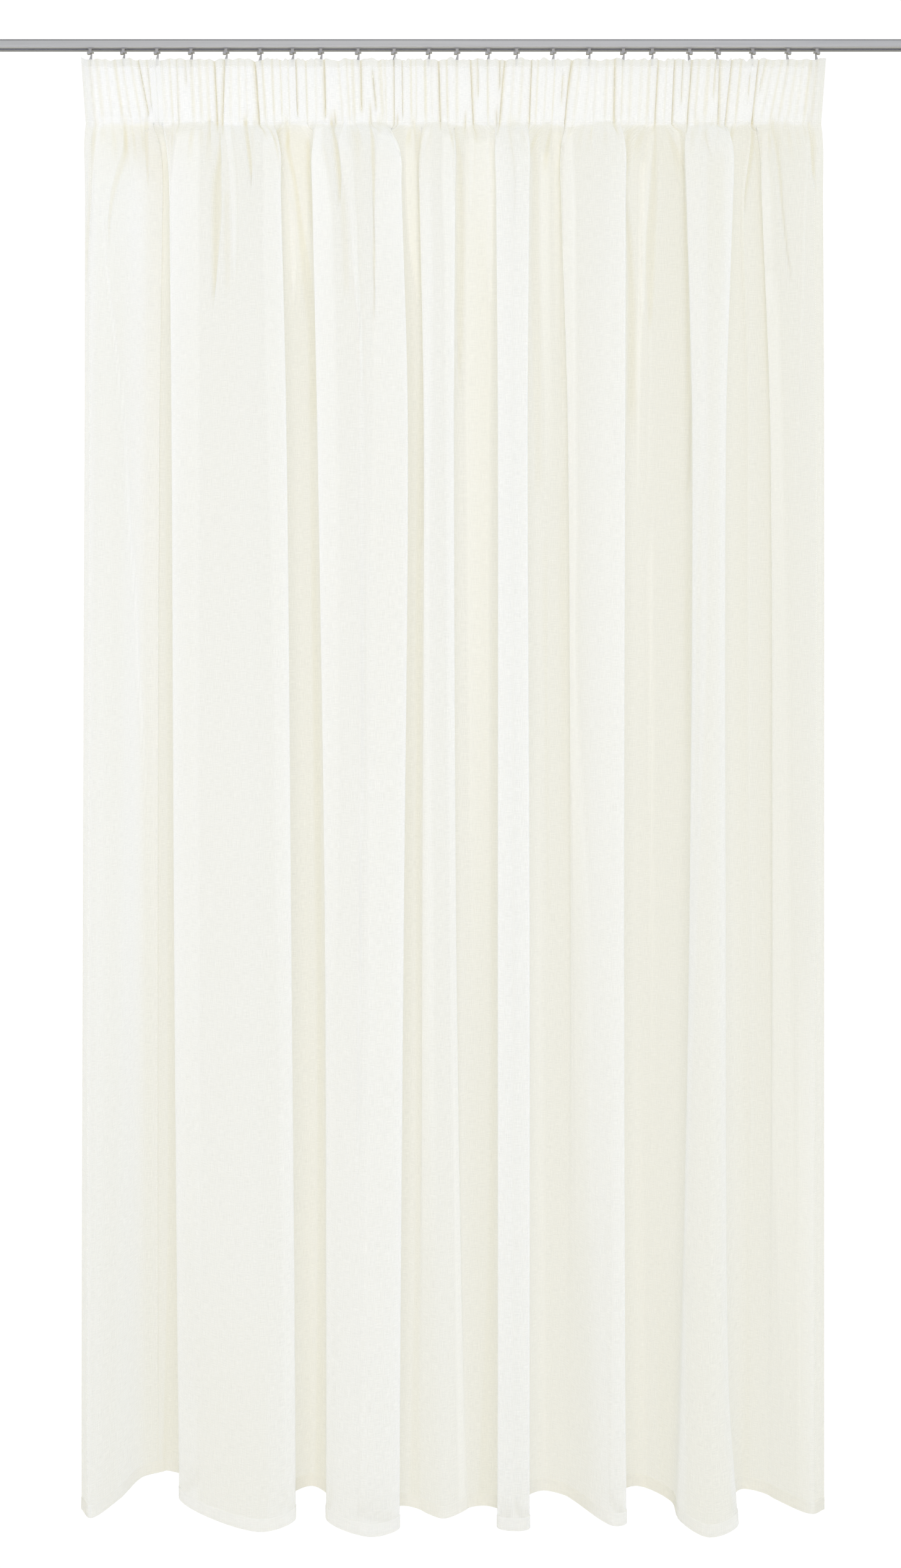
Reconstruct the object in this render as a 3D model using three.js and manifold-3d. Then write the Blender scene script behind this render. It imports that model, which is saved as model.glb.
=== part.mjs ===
// A sheer curtain that hangs from a slim aluminium rail under a ceiling.
// Millimetres, Z up. The origin is the middle of the rail's flat top face,
// and the front of the curtain faces -Y.
import * as THREE from "three";
import Module from "manifold-3d";
import { mergeVertices } from "three/addons/utils/BufferGeometryUtils.js";

// Driving sizes
const rail = { length: 1600, depth: 23, height: 12.5, wall: 1.4, slot: 6, corner: 1.2 };
const endCap = { thickness: 3, plug: 14 };
// The space between pieces that touch
const gap = 0.3;
// Places across the curtain are given as seen from this far in front of it
const viewDistance = 2550;

// The gathered header stands a little forward, and widens towards its top by the flare
const header = { top: -34, tapeTop: -44, tapeBottom: -142, plane: -9, flare: 0.013 };
const hemLine = -2479;
const clothThickness = 1;
const tape = { thickness: 1, inset: 12 };
// Pencil pleats: the cloth from one crease to the next, how far a crease stands out of the
// cloth's run, how far below the tape they fade, and the share of the room there they may take
const pleat = { step: 14.3, least: 3, most: 6.5, fade: 60, room: 0.5 };
// Below the tape the folds open out to their places within this length, fastest at first
const opening = { length: 101, snap: 2.2 };
// At a sharp bend the two faces part from the middle of the cloth by no more than 1 / leastSpread
const leastSpread = 0.5;

const gliderCount = 23;
const firstGlider = -608;
const lastGlider = 618.5;
// How far each glider has slid from even spacing, from left to right
const gliderDrift = [0, 0, 1, 3, 6, 8, 7, -1, 6, 11, 14, 6, 3, -5, 1, 6, 8, 1, 8, 0, 3, 7, 0];
// From this glider on, counted from 0, they stand the other way round with their hooks
const firstMirrored = 18;

const colours = {
  aluminium: 0xb6b8b8,
  plastic: 0x9a9d9f,
  cloth: 0xf4f3ea,
  tape: 0xf8f8f4,
};

// The heights at which the folds are set out, from the top down
const levels = [-243, -661, -1497, -2228, hemLine];
// How much of its full depth a fold has at each of these heights
const depthShare = [0.5, 0.64, 0.84, 0.96, 1];

// The cloth's left edge, which turns forward, and the slope that falls back from it.
// Places are across the curtain as seen from the front, at each level.
const leftEdge = {
  edge: [-617, -618, -621, -623, -623],
  crest: [-604, -604, -606, -608, -608],
  valley: [-493, -487, -485, -481, -481],
  edgeDepth: 0,
  crestDepth: -26,
  valleyDepth: 118,
  root: -617,
};

// One row for each fold, from left to right. left and right are its outer edges, and lapLeft and
// lapRight say how far the cloth doubles back behind them. A lap below 0 is an open slope.
// crestAt is the share of the fold's width where it stands furthest forward. The valley is the
// hollow to its right. Depths are at the hem, forward below 0. The roots are where the two edges
// leave the tape.
const folds = [
  {
    left: [-475, -471, -467, -461, -458], lapLeft: [50, 46, 38, 36, 34],
    right: [-287, -277, -269, -263, -262], lapRight: [29, 30, 25, 20, 20],
    crestAt: 0.7, leftDepth: 33, crestDepth: -65, rightDepth: -30,
    valley: [-261, -249, -238, -235, -235], valleyDepth: 70,
    rootLeft: -447, rootRight: -317,
  },
  {
    left: [-234, -225, -212, -209, -209], lapLeft: [33, 38, 24, 15, 10],
    right: [-83, -72, -79, -85, -86], lapRight: [48, 63, 61, 69, 72],
    crestAt: 0.62, leftDepth: -32, crestDepth: -79, rightDepth: -53,
    valley: [-69, -59, -67, -76, -82], valleyDepth: 10,
    rootLeft: -222, rootRight: -111,
  },
  {
    left: [-53, -45, -47, -46, -40], lapLeft: [21, 13, 2, -8, -13],
    right: [8, 6, 10, 20, 25], lapRight: [18, 16, 8, -3, -6],
    crestAt: 0.45, leftDepth: -12, crestDepth: -27, rightDepth: -3,
    valley: [42, 49, 56, 61, 61], valleyDepth: 10,
    rootLeft: -50, rootRight: 10,
  },
  {
    left: [77, 80, 80, 80, 79], lapLeft: [24, 23, 23, 23, 23],
    right: [133, 130, 133, 133, 133], lapRight: [25, 23, 23, 24, 24],
    crestAt: 0.4, leftDepth: -53, crestDepth: -62, rightDepth: -56,
    valley: [159, 163, 161, 155, 152], valleyDepth: 55,
    rootLeft: 77, rootRight: 125,
  },
  {
    left: [186, 198, 203, 207, 209], lapLeft: [23, 14, 0, -13, -16],
    right: [296, 295, 293, 295, 297], lapRight: [29, 44, 39, 32, 28],
    crestAt: 0.75, leftDepth: 24, crestDepth: -48, rightDepth: -41,
    valley: [326, 326, 321, 316, 312], valleyDepth: 70,
    rootLeft: 192, rootRight: 286,
  },
  {
    left: [398, 408, 404, 393, 387], lapLeft: [27, 20, 3, -10, -15],
    right: [478, 465, 464, 468, 485], lapRight: [29, 29, 27, 29, 44],
    crestAt: 0.5, leftDepth: -33, crestDepth: -80, rightDepth: -48,
    valley: [498, 498, 501, 502, 504], valleyDepth: 56,
    rootLeft: 397, rootRight: 475,
  },
];

// The last panel, from its left fold to the cloth's right edge
const rightPanel = {
  left: [525, 540, 544, 546, 548], lapLeft: [19, 6, 0, -13, -17],
  crest: [608, 612, 612, 610, 610],
  edge: [629, 631, 631, 631, 631],
  leftDepth: 30, crestDepth: -14, edgeDepth: 0,
  rootLeft: 527, root: 627,
};
// How far behind a fold's edge its lap turns, as a share of the way to the valley
const lapDepth = 0.55;

// Heights of the cloth's rows of faces
const clothRows = [
  header.top, header.tapeBottom, -178, -208, levels[0], -300, -380, -500, levels[1],
  -1000, levels[2], -1860, levels[3], hemLine,
];
const tapeRows = [header.tapeTop, header.tapeBottom];

const wasm = await Module();
wasm.setup();

function material(colour, roughness, metalness) {
  return new THREE.MeshStandardMaterial({ color: colour, roughness, metalness });
}

function addMesh(group, name, geometry, finish) {
  const mesh = new THREE.Mesh(geometry, finish);
  mesh.name = name;
  group.add(mesh);
  return mesh;
}

// A geometry as a solid that can be joined and cut, and back again
function solidOf(geometry) {
  const bare = geometry.clone();
  bare.deleteAttribute("normal");
  bare.deleteAttribute("uv");
  const merged = mergeVertices(bare, 1e-4);
  return new wasm.Manifold(new wasm.Mesh({
    numProp: 3,
    vertProperties: new Float32Array(merged.attributes.position.array),
    triVerts: new Uint32Array(merged.index.array),
  }));
}

function geometryOf(solid) {
  const mesh = solid.getMesh();
  const geometry = new THREE.BufferGeometry();
  geometry.setAttribute("position", new THREE.BufferAttribute(mesh.vertProperties, 3));
  geometry.setIndex(new THREE.BufferAttribute(mesh.triVerts, 1));
  geometry.computeVertexNormals();
  return geometry;
}

function boxBetween(low, high) {
  const size = high.map((value, axis) => value - low[axis]);
  const middle = high.map((value, axis) => (value + low[axis]) / 2);
  return new THREE.BoxGeometry(...size).translate(...middle);
}

// A value between the levels, on a smooth curve through its values there
function atHeight(values, z) {
  const last = levels.length - 1;
  if (z >= levels[0]) return values[0];
  if (z <= levels[last]) return values[last];
  const i = levels.findIndex((level) => z > level) - 1;
  const slope = (k) => {
    const from = Math.max(k - 1, 0);
    const to = Math.min(k + 1, last);
    return (values[to] - values[from]) / (levels[to] - levels[from]);
  };
  const span = levels[i + 1] - levels[i];
  const t = (z - levels[i]) / span;
  const t2 = t * t;
  const t3 = t2 * t;
  return (
    (2 * t3 - 3 * t2 + 1) * values[i] +
    (t3 - 2 * t2 + t) * span * slope(i) +
    (3 * t2 - 2 * t3) * values[i + 1] +
    (t3 - t2) * span * slope(i + 1)
  );
}

// The points where the cloth turns on its way from left to right, as seen at height z:
// how far across and how deep each lies, and where it leaves the tape if that is set.
function turningPoints(z) {
  const share = atHeight(depthShare, z);
  const points = [];
  const turn = (across, depth, root = null) => {
    const y = depth * share;
    points.push({ x: across * (1 + y / viewDistance), y, root });
  };
  const between = (edge, valley) => edge + (valley - edge) * lapDepth;
  turn(atHeight(leftEdge.edge, z), leftEdge.edgeDepth, leftEdge.root);
  turn(atHeight(leftEdge.crest, z), leftEdge.crestDepth);
  turn(atHeight(leftEdge.valley, z), leftEdge.valleyDepth);
  let valleyDepth = leftEdge.valleyDepth;
  for (const fold of folds) {
    const left = atHeight(fold.left, z);
    const right = atHeight(fold.right, z);
    turn(left + atHeight(fold.lapLeft, z), between(fold.leftDepth, valleyDepth));
    turn(left, fold.leftDepth, fold.rootLeft);
    turn(left + (right - left) * fold.crestAt, fold.crestDepth);
    turn(right, fold.rightDepth, fold.rootRight);
    turn(right - atHeight(fold.lapRight, z), between(fold.rightDepth, fold.valleyDepth));
    turn(atHeight(fold.valley, z), fold.valleyDepth);
    valleyDepth = fold.valleyDepth;
  }
  const left = atHeight(rightPanel.left, z);
  turn(left + atHeight(rightPanel.lapLeft, z), between(rightPanel.leftDepth, valleyDepth));
  turn(left, rightPanel.leftDepth, rightPanel.rootLeft);
  turn(atHeight(rightPanel.crest, z), rightPanel.crestDepth);
  turn(atHeight(rightPanel.edge, z), rightPanel.edgeDepth, rightPanel.root);
  return points;
}

// The turning points joined by one smooth curve
function foldCurve(z) {
  const places = turningPoints(z).map(({ x, y }) => new THREE.Vector3(x, y, z));
  return new THREE.CatmullRomCurve3(places, false, "centripetal");
}

// The cloth's columns are the same threads from top to bottom: each stretch between two
// turning points holds as many as its length at the hem asks for.
const curveSteps = 24;
const turnCount = turningPoints(hemLine).length;
function stretchLength(curve, index) {
  let length = 0;
  for (let step = 0; step < curveSteps; step += 1) {
    const from = curve.getPoint((index + step / curveSteps) / (turnCount - 1));
    const to = curve.getPoint((index + (step + 1) / curveSteps) / (turnCount - 1));
    length += from.distanceTo(to);
  }
  return length;
}

function clothColumns() {
  const hem = foldCurve(hemLine);
  const columns = [];
  let run = 0;
  for (let index = 0; index < turnCount - 1; index += 1) {
    const length = stretchLength(hem, index);
    const count = Math.max(1, Math.round(length / pleat.step));
    for (let k = 0; k < count; k += 1) {
      columns.push({ along: (index + k / count) / (turnCount - 1), run: run + (length * k) / count });
    }
    run += length;
  }
  columns.push({ along: 1, run });
  return columns;
}
const columns = clothColumns();

// Where each column leaves the tape: even between the roots of the folds
function gatheredPlaces() {
  const anchors = [];
  turningPoints(hemLine).forEach(({ root }, index) => {
    if (root === null) return;
    const along = index / (turnCount - 1);
    const column = columns.find((one) => Math.abs(one.along - along) < 1e-9);
    anchors.push({ run: column.run, x: root });
  });
  return columns.map(({ run }) => {
    const next = Math.max(1, anchors.findIndex((anchor) => anchor.run >= run - 1e-6));
    const from = anchors[next - 1];
    const to = anchors[next];
    return from.x + ((to.x - from.x) * (run - from.run)) / (to.run - from.run);
  });
}
const gathered = gatheredPlaces();

// How far a column's pleat stands out of the cloth's run, from the cloth that it takes up
function pleatDepth(column) {
  const before = Math.max(0, column - 1);
  const after = Math.min(columns.length - 1, column + 1);
  const cloth = (columns[after].run - columns[before].run) / (after - before);
  const width = (gathered[after] - gathered[before]) / (after - before);
  const reach = Math.sqrt(Math.max(cloth * cloth - width * width, 0)) / 2;
  const side = column % 2 === 0 ? 1 : -1;
  return side * THREE.MathUtils.clamp(reach, pleat.least, pleat.most);
}

// Level directions along a line at one of its points, before and after it
function directionsAt(line, index) {
  const direction = (a, b) => new THREE.Vector2(b.x - a.x, b.y - a.y).normalize();
  const last = line.length - 1;
  const after = direction(line[Math.min(index, last - 1)], line[Math.min(index + 1, last)]);
  const before = index > 0 ? direction(line[index - 1], line[index]) : after;
  return [before, after];
}

// The line moved sideways by what distanceAt gives for each point, towards the back above 0.
// With mitred set, both sides of a bend keep that distance.
function movedSideways(line, distanceAt, mitred) {
  return line.map((point, index) => {
    const [before, after] = directionsAt(line, index);
    const across = new THREE.Vector2(-(before.y + after.y), before.x + after.x).normalize();
    const spread = across.x * -before.y + across.y * before.x;
    const distance = distanceAt(index) / (mitred ? Math.max(leastSpread, spread) : 1);
    return new THREE.Vector3(
      point.x + across.x * distance,
      point.y + across.y * distance,
      point.z,
    );
  });
}

// The middle of the cloth at one height, a point for each column
function clothLine(z) {
  const below = header.tapeBottom - z;
  const curve = foldCurve(z);
  const opened = 1 - (1 - THREE.MathUtils.clamp(below / opening.length, 0, 1)) ** opening.snap;
  const pleated = 1 - THREE.MathUtils.smoothstep(below, 0, pleat.fade);
  const above = Math.max(0, -below) / (header.top - header.tapeBottom);
  const plain = columns.map(({ along }, column) => {
    const fold = curve.getPoint(along);
    const x = gathered[column] * (1 + header.flare * above);
    return new THREE.Vector3(
      THREE.MathUtils.lerp(x, fold.x, opened),
      THREE.MathUtils.lerp(header.plane, fold.y, opened),
      z,
    );
  });
  const pleatAt = (column) => {
    const before = plain[Math.max(0, column - 1)];
    const after = plain[Math.min(columns.length - 1, column + 1)];
    const room = before.distanceTo(after) * pleat.room * pleated;
    return THREE.MathUtils.clamp(pleatDepth(column) * pleated, -room, room);
  };
  return movedSideways(plain, pleatAt, false);
}

// A closed sheet between two stacks of lines, front and back, from the top row down
function sheetBetween(front, back) {
  const rows = front.length;
  const width = front[0].length;
  const positions = [...front, ...back].flat().flatMap(({ x, y, z }) => [x, y, z]);
  const faces = [];
  const at = (side, row, column) => (side * rows + row) * width + column;
  const quad = (a, b, c, d) => faces.push(a, b, c, a, c, d);
  for (let row = 0; row < rows - 1; row += 1) {
    for (let column = 0; column < width - 1; column += 1) {
      quad(at(0, row + 1, column), at(0, row + 1, column + 1), at(0, row, column + 1), at(0, row, column));
      quad(at(1, row, column), at(1, row, column + 1), at(1, row + 1, column + 1), at(1, row + 1, column));
    }
    const end = width - 1;
    quad(at(0, row, 0), at(1, row, 0), at(1, row + 1, 0), at(0, row + 1, 0));
    quad(at(0, row + 1, end), at(1, row + 1, end), at(1, row, end), at(0, row, end));
  }
  for (let column = 0; column < width - 1; column += 1) {
    const foot = rows - 1;
    quad(at(0, 0, column), at(0, 0, column + 1), at(1, 0, column + 1), at(1, 0, column));
    quad(at(1, foot, column), at(1, foot, column + 1), at(0, foot, column + 1), at(0, foot, column));
  }
  const geometry = new THREE.BufferGeometry();
  geometry.setAttribute("position", new THREE.Float32BufferAttribute(positions, 3));
  geometry.setIndex(faces);
  geometry.computeVertexNormals();
  return geometry;
}

function makeCloth(group) {
  const lines = clothRows.map(clothLine);
  const half = clothThickness / 2;
  const geometry = sheetBetween(
    lines.map((line) => movedSideways(line, () => -half, true)),
    lines.map((line) => movedSideways(line, () => half, true)),
  );
  addMesh(group, "curtain_cloth", geometry, material(colours.cloth, 0.95, 0));
}

// The tape is sewn to the back of the header and follows its pleats
function makeTape(group) {
  const near = clothThickness / 2 + gap;
  const kept = columns
    .map((_, column) => column)
    .filter((column) => Math.abs(gathered[column] - rightPanel.root) > tape.inset
      && Math.abs(gathered[column] - leftEdge.root) > tape.inset);
  const trimmed = (line) => kept.map((column) => line[column]);
  const lines = tapeRows.map(clothLine);
  const geometry = sheetBetween(
    lines.map((line) => trimmed(movedSideways(line, () => near, true))),
    lines.map((line) => trimmed(movedSideways(line, () => near + tape.thickness, true))),
  );
  addMesh(group, "header_tape", geometry, material(colours.tape, 0.9, 0));
}

// The rail's section, drawn across its depth and height, with rounded lower edges.
// The channel opens down through the slot, and an end cap's section has none.
function railSection(hasChannel) {
  const { depth, height, wall, slot, corner } = rail;
  const outer = depth / 2;
  const inner = outer - wall;
  const lip = slot / 2;
  const channel = [
    [lip, -height], [lip, -height + wall], [inner, -height + wall], [inner, -wall],
    [-inner, -wall], [-inner, -height + wall], [-lip, -height + wall], [-lip, -height],
  ];
  const shape = new THREE.Shape();
  shape.moveTo(-outer, 0);
  shape.lineTo(outer, 0);
  shape.lineTo(outer, -height + corner);
  shape.absarc(outer - corner, -height + corner, corner, 0, -Math.PI / 2, true);
  if (hasChannel) channel.forEach(([y, z]) => shape.lineTo(y, z));
  shape.lineTo(-outer + corner, -height);
  shape.absarc(-outer + corner, -height + corner, corner, -Math.PI / 2, -Math.PI, true);
  shape.closePath();
  return shape;
}

// A section across the rail, run along X from start for a length
function alongRail(shape, start, length) {
  const run = { depth: length, bevelEnabled: false, curveSegments: 4 };
  const geometry = new THREE.ExtrudeGeometry(shape, run);
  const turned = new THREE.Matrix4().makeBasis(
    new THREE.Vector3(0, 1, 0),
    new THREE.Vector3(0, 0, 1),
    new THREE.Vector3(1, 0, 0),
  );
  return geometry.applyMatrix4(turned).translate(start, 0, 0);
}

function makeRail(group) {
  const finish = material(colours.aluminium, 0.42, 0.85);
  addMesh(group, "rail", alongRail(railSection(true), -rail.length / 2, rail.length), finish);
}

// A flat cap over each end of the rail, with a plug that enters its channel
function makeEndCaps(group) {
  const { length, depth, height, wall } = rail;
  const plugHalf = depth / 2 - wall - gap;
  const plugTop = -wall - gap;
  const plugFoot = -height + wall + gap;
  for (const [name, side] of [["end_cap_left", -1], ["end_cap_right", 1]]) {
    const face = (side * length) / 2 + side * gap;
    const start = side < 0 ? face - endCap.thickness : face;
    const plate = alongRail(railSection(false), start, endCap.thickness);
    const ends = [face + side, face - side * endCap.plug].sort((a, b) => a - b);
    const plug = boxBetween([ends[0], -plugHalf, plugFoot], [ends[1], plugHalf, plugTop]);
    const cap = solidOf(plate).add(solidOf(plug));
    addMesh(group, name, geometryOf(cap), material(colours.aluminium, 0.5, 0.6));
  }
}

// A glider's pieces: a head that rests on the rail's lips, a neck through the slot,
// and a stepped foot below the rail, deeper on one side
const glider = {
  headHalf: [4.5, 8], headHeight: 3, neckHalf: [2.5, 2.4], footHalf: [5.3, 2.8],
  footTop: -17, footStep: -19, footBottom: -21.2,
};

function gliderGeometry(side) {
  const { headHalf, headHeight, neckHalf, footHalf, footTop, footStep, footBottom } = glider;
  const seat = -rail.height + rail.wall + gap;
  const join = 0.5;
  const block = ([halfX, halfY], low, high) =>
    solidOf(boxBetween([-halfX, -halfY, low], [halfX, halfY, high]));
  const head = block(headHalf, seat, seat + headHeight);
  const neck = block(neckHalf, footStep + join, seat + join);
  const foot = block(footHalf, footStep, footTop);
  const deep = [-footHalf[0] * side, 0].sort((a, b) => a - b);
  const heel = boxBetween([deep[0], -footHalf[1], footBottom], [deep[1], footHalf[1], footStep + join]);
  return geometryOf(head.add(neck).add(foot).add(solidOf(heel)));
}

// A hook seen from the front: a thin neck to one side of the glider's middle that leans and
// widens to its shoulder, then a shaft that goes down behind the tape, against the tape's back.
const hook = {
  top: -19.3, shoulder: -31, foot: -62, neckAt: 1.5, shaftAt: -0.6,
  neckHalf: 0.9, shoulderHalf: 2.7, shaftHalf: 1.5, front: 1.5, thickness: 1.6,
};

function hookGeometry(side) {
  const { top, shoulder, foot, neckAt, shaftAt, neckHalf, shoulderHalf, shaftHalf } = hook;
  const outline = [
    [neckAt + neckHalf, top],
    [neckAt - neckHalf, top],
    [shaftAt - shoulderHalf, shoulder],
    [shaftAt - shaftHalf, shoulder - shoulderHalf],
    [shaftAt - shaftHalf, foot + shaftHalf],
    [shaftAt - shaftHalf / 2, foot],
    [shaftAt + shaftHalf / 2, foot],
    [shaftAt + shaftHalf, foot + shaftHalf],
    [shaftAt + shaftHalf, shoulder - shoulderHalf],
    [shaftAt + shoulderHalf, shoulder],
  ];
  const shape = new THREE.Shape(outline.map(([x, z]) => new THREE.Vector2(side * x, z)));
  const geometry = new THREE.ExtrudeGeometry(shape, { depth: hook.thickness, bevelEnabled: false });
  geometry.rotateX(Math.PI / 2);
  return geometry.translate(0, hook.front + hook.thickness, 0);
}

function makeGlidersAndHooks(group) {
  const pitch = (lastGlider - firstGlider) / (gliderCount - 1);
  for (let index = 0; index < gliderCount; index += 1) {
    const number = String(index + 1).padStart(2, "0");
    const x = firstGlider + pitch * index + gliderDrift[index];
    const side = index >= firstMirrored ? -1 : 1;
    const pieces = [
      [`glider_${number}`, gliderGeometry(side), material(colours.plastic, 0.5, 0)],
      [`hook_${number}`, hookGeometry(side), material(colours.plastic, 0.4, 0)],
    ];
    for (const [name, geometry, finish] of pieces) {
      addMesh(group, name, geometry, finish).position.set(x, 0, 0);
    }
  }
}

const curtain = new THREE.Group();
makeRail(curtain);
makeEndCaps(curtain);
makeGlidersAndHooks(curtain);
makeTape(curtain);
makeCloth(curtain);

export default curtain;
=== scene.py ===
import math

import bmesh
import bpy
import numpy as np
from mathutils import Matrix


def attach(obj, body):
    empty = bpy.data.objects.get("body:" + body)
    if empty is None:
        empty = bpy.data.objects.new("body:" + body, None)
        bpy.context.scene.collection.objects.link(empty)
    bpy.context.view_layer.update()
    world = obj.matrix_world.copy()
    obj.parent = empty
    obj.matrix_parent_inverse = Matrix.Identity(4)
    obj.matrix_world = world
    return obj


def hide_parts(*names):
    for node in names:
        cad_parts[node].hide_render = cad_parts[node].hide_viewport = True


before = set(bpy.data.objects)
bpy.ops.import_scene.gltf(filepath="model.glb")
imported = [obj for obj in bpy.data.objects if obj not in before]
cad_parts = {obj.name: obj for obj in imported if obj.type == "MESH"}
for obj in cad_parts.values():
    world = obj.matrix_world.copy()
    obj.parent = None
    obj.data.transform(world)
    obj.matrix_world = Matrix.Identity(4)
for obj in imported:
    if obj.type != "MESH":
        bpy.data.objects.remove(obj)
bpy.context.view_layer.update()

MM = 0.001

# The camera looks straight at the cloth from a little above its middle
CAMERA_DISTANCE = 2550
EYE_LEVEL = -1003.5
FRAME_HEIGHT, HORIZON_ROW = 2535, 1028
MM_PER_PIXEL = 1.045

# Heights below the ceiling, and the width of the side hems
HEADER_TOP, TAPE_TOP, TAPE_BOTTOM = -34, -44, -142
HEM_LINE, HEM_TOP, FLOOR = -2479, -2458, -2640
SIDE_HEM = 22

# How the header is gathered and opens out below the tape, as in the solids
HEADER_PLANE, HEADER_FLARE = -9, 0.013
OPEN_LENGTH, OPEN_SNAP = 101, 3.1
TAPE_INSET = 8

# The heights at which the folds are placed, the share of their depths at the hem that they have
# there, and how far a lap goes from its edge to the next valley
LAP_DEPTH = 0.55
LEVELS = np.array([-243, -661, -1497, -2228, HEM_LINE], float)
DEPTH_SHARE = [0.5, 0.64, 0.84, 0.96, 1]

LEFT_EDGE = dict(
    edge=[-617, -618, -621, -623, -623],
    crest=[-604, -604, -606, -608, -608],
    right=[-486, -491, -494, -494, -494], lap_right=[106, 60, 8, 4, -9],
    valley=[-480, -481, -481, -480, -480],
    edge_depth=0, crest_depth=-26, slope_at=(0.42, 0.77), slope_depths=(28, 97), right_depth=111,
    lap_depth=115, valley_depth=118, roots=(-613, -500),
)

# One row for each fold, from left to right, as in the solids. The roots are where its two edges
# leave the tape.
FOLDS = [
    dict(left=[-475, -471, -467, -461, -458], lap_left=[50, 46, 38, 36, 34],
         right=[-287, -277, -269, -263, -262], lap_right=[29, 30, 25, 20, 20],
         crest_at=0.7, left_depth=33, crest_depth=-65, right_depth=-30,
         valley=[-261, -249, -238, -235, -235], valley_depth=70, roots=(-482, -304)),
    dict(left=[-234, -225, -212, -209, -209], lap_left=[33, 38, 24, 15, 10],
         right=[-83, -72, -79, -85, -86], lap_right=[48, 63, 61, 69, 72],
         crest_at=0.62, left_depth=-32, crest_depth=-79, right_depth=-53,
         valley=[-69, -59, -67, -76, -82], valley_depth=10, valley_back=[4, 28, 20, 4, 0],
         roots=(-224, -113)),
    dict(left=[-53, -45, -47, -46, -40], lap_left=[21, 13, 2, -8, -13],
         right=[8, 6, 10, 20, 25], lap_right=[18, 16, 8, -3, -6],
         crest_at=0.45, left_depth=-12, crest_depth=-27, right_depth=-3,
         valley=[42, 49, 56, 61, 61], valley_depth=10, valley_back=[2, 22, 16, 4, 0],
         forward=[4, 20, 14, 3, 0], roots=(-43, 1)),
    dict(left=[77, 80, 80, 80, 79], lap_left=[24, 23, 23, 23, 23],
         right=[133, 130, 133, 133, 133], lap_right=[25, 23, 23, 24, 24],
         crest_at=0.4, left_depth=-53, crest_depth=-62, right_depth=-56,
         valley=[159, 163, 161, 155, 152], valley_depth=55, roots=(82, 122)),
    dict(left=[186, 198, 203, 207, 209], lap_left=[23, 14, 0, -13, -16],
         right=[296, 295, 293, 295, 297], lap_right=[29, 44, 39, 32, 28],
         crest_at=0.75, left_depth=24, crest_depth=-48, right_depth=-41,
         valley=[326, 326, 321, 316, 312], valley_depth=70, roots=(196, 280)),
    dict(left=[398, 408, 404, 393, 387], lap_left=[27, 20, 3, -10, -15],
         right=[478, 465, 464, 468, 485], lap_right=[20, 10, 8, 8, 12],
         crest_at=0.5, left_depth=-33, crest_depth=-80, right_depth=-48,
         valley=[498, 498, 501, 498, 491], valley_depth=60, roots=(400, 457)),
]

RIGHT_PANEL = dict(
    left=[525, 540, 544, 546, 548], lap_left=[19, 6, 0, -13, -17],
    crest=[608, 612, 612, 610, 610], edge=[629, 631, 631, 631, 631],
    left_depth=30, crest_depth=-14, edge_depth=0, roots=(516, 623),
)

# The deep creases that show in the header: where each is at the top of the tape, how far it leans
# by the tape's lower edge, how deep it is, and the part of the tape's height that it crosses if
# that isn't all of it
HEADER_CREASES = [
    (-518, 10, 8, 0, 0.92), (-503, 5, 5, 0, 0.8), (-454, -1, 5), (-441, 0, 5, 0, 0.4),
    (-392, 0, 10), (-377, -5, 9), (-326, 2, 10), (-256, 0, 9, 0, 0.9), (-211, 0, 10, 0, 0.95),
    (-200, 5, 7, 0.75, 1), (-149, 0, 9, 0, 0.85), (-139, 4, 6, 0.6, 1), (-131, 6, 8, 0.05, 0.8),
    (-95, -1, 8), (-89, -1, 6, 0.8, 1), (-80, 0, 7, 0, 0.95), (-20, 2, 10), (26, 0, 5, 0.75, 1),
    (34, 5, 9), (44, 3, 6, 0, 0.6), (76, 1, 6, 0.7, 1), (81, 0, 7, 0, 0.45), (90, -5, 9),
    (134, -3, 9), (188, -5, 6, 0.1, 0.7), (201, -8, 10), (273, 1, 9), (345, -2, 9), (373, 0, 9),
    (386, 0, 6, 0, 0.7), (400, -3, 9), (441, -2, 6, 0, 0.6), (449, 2, 8), (468, -7, 10),
    (499, -5, 6, 0.1, 0.6), (512, -7, 9), (524, -8, 6, 0, 0.5),
]

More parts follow.
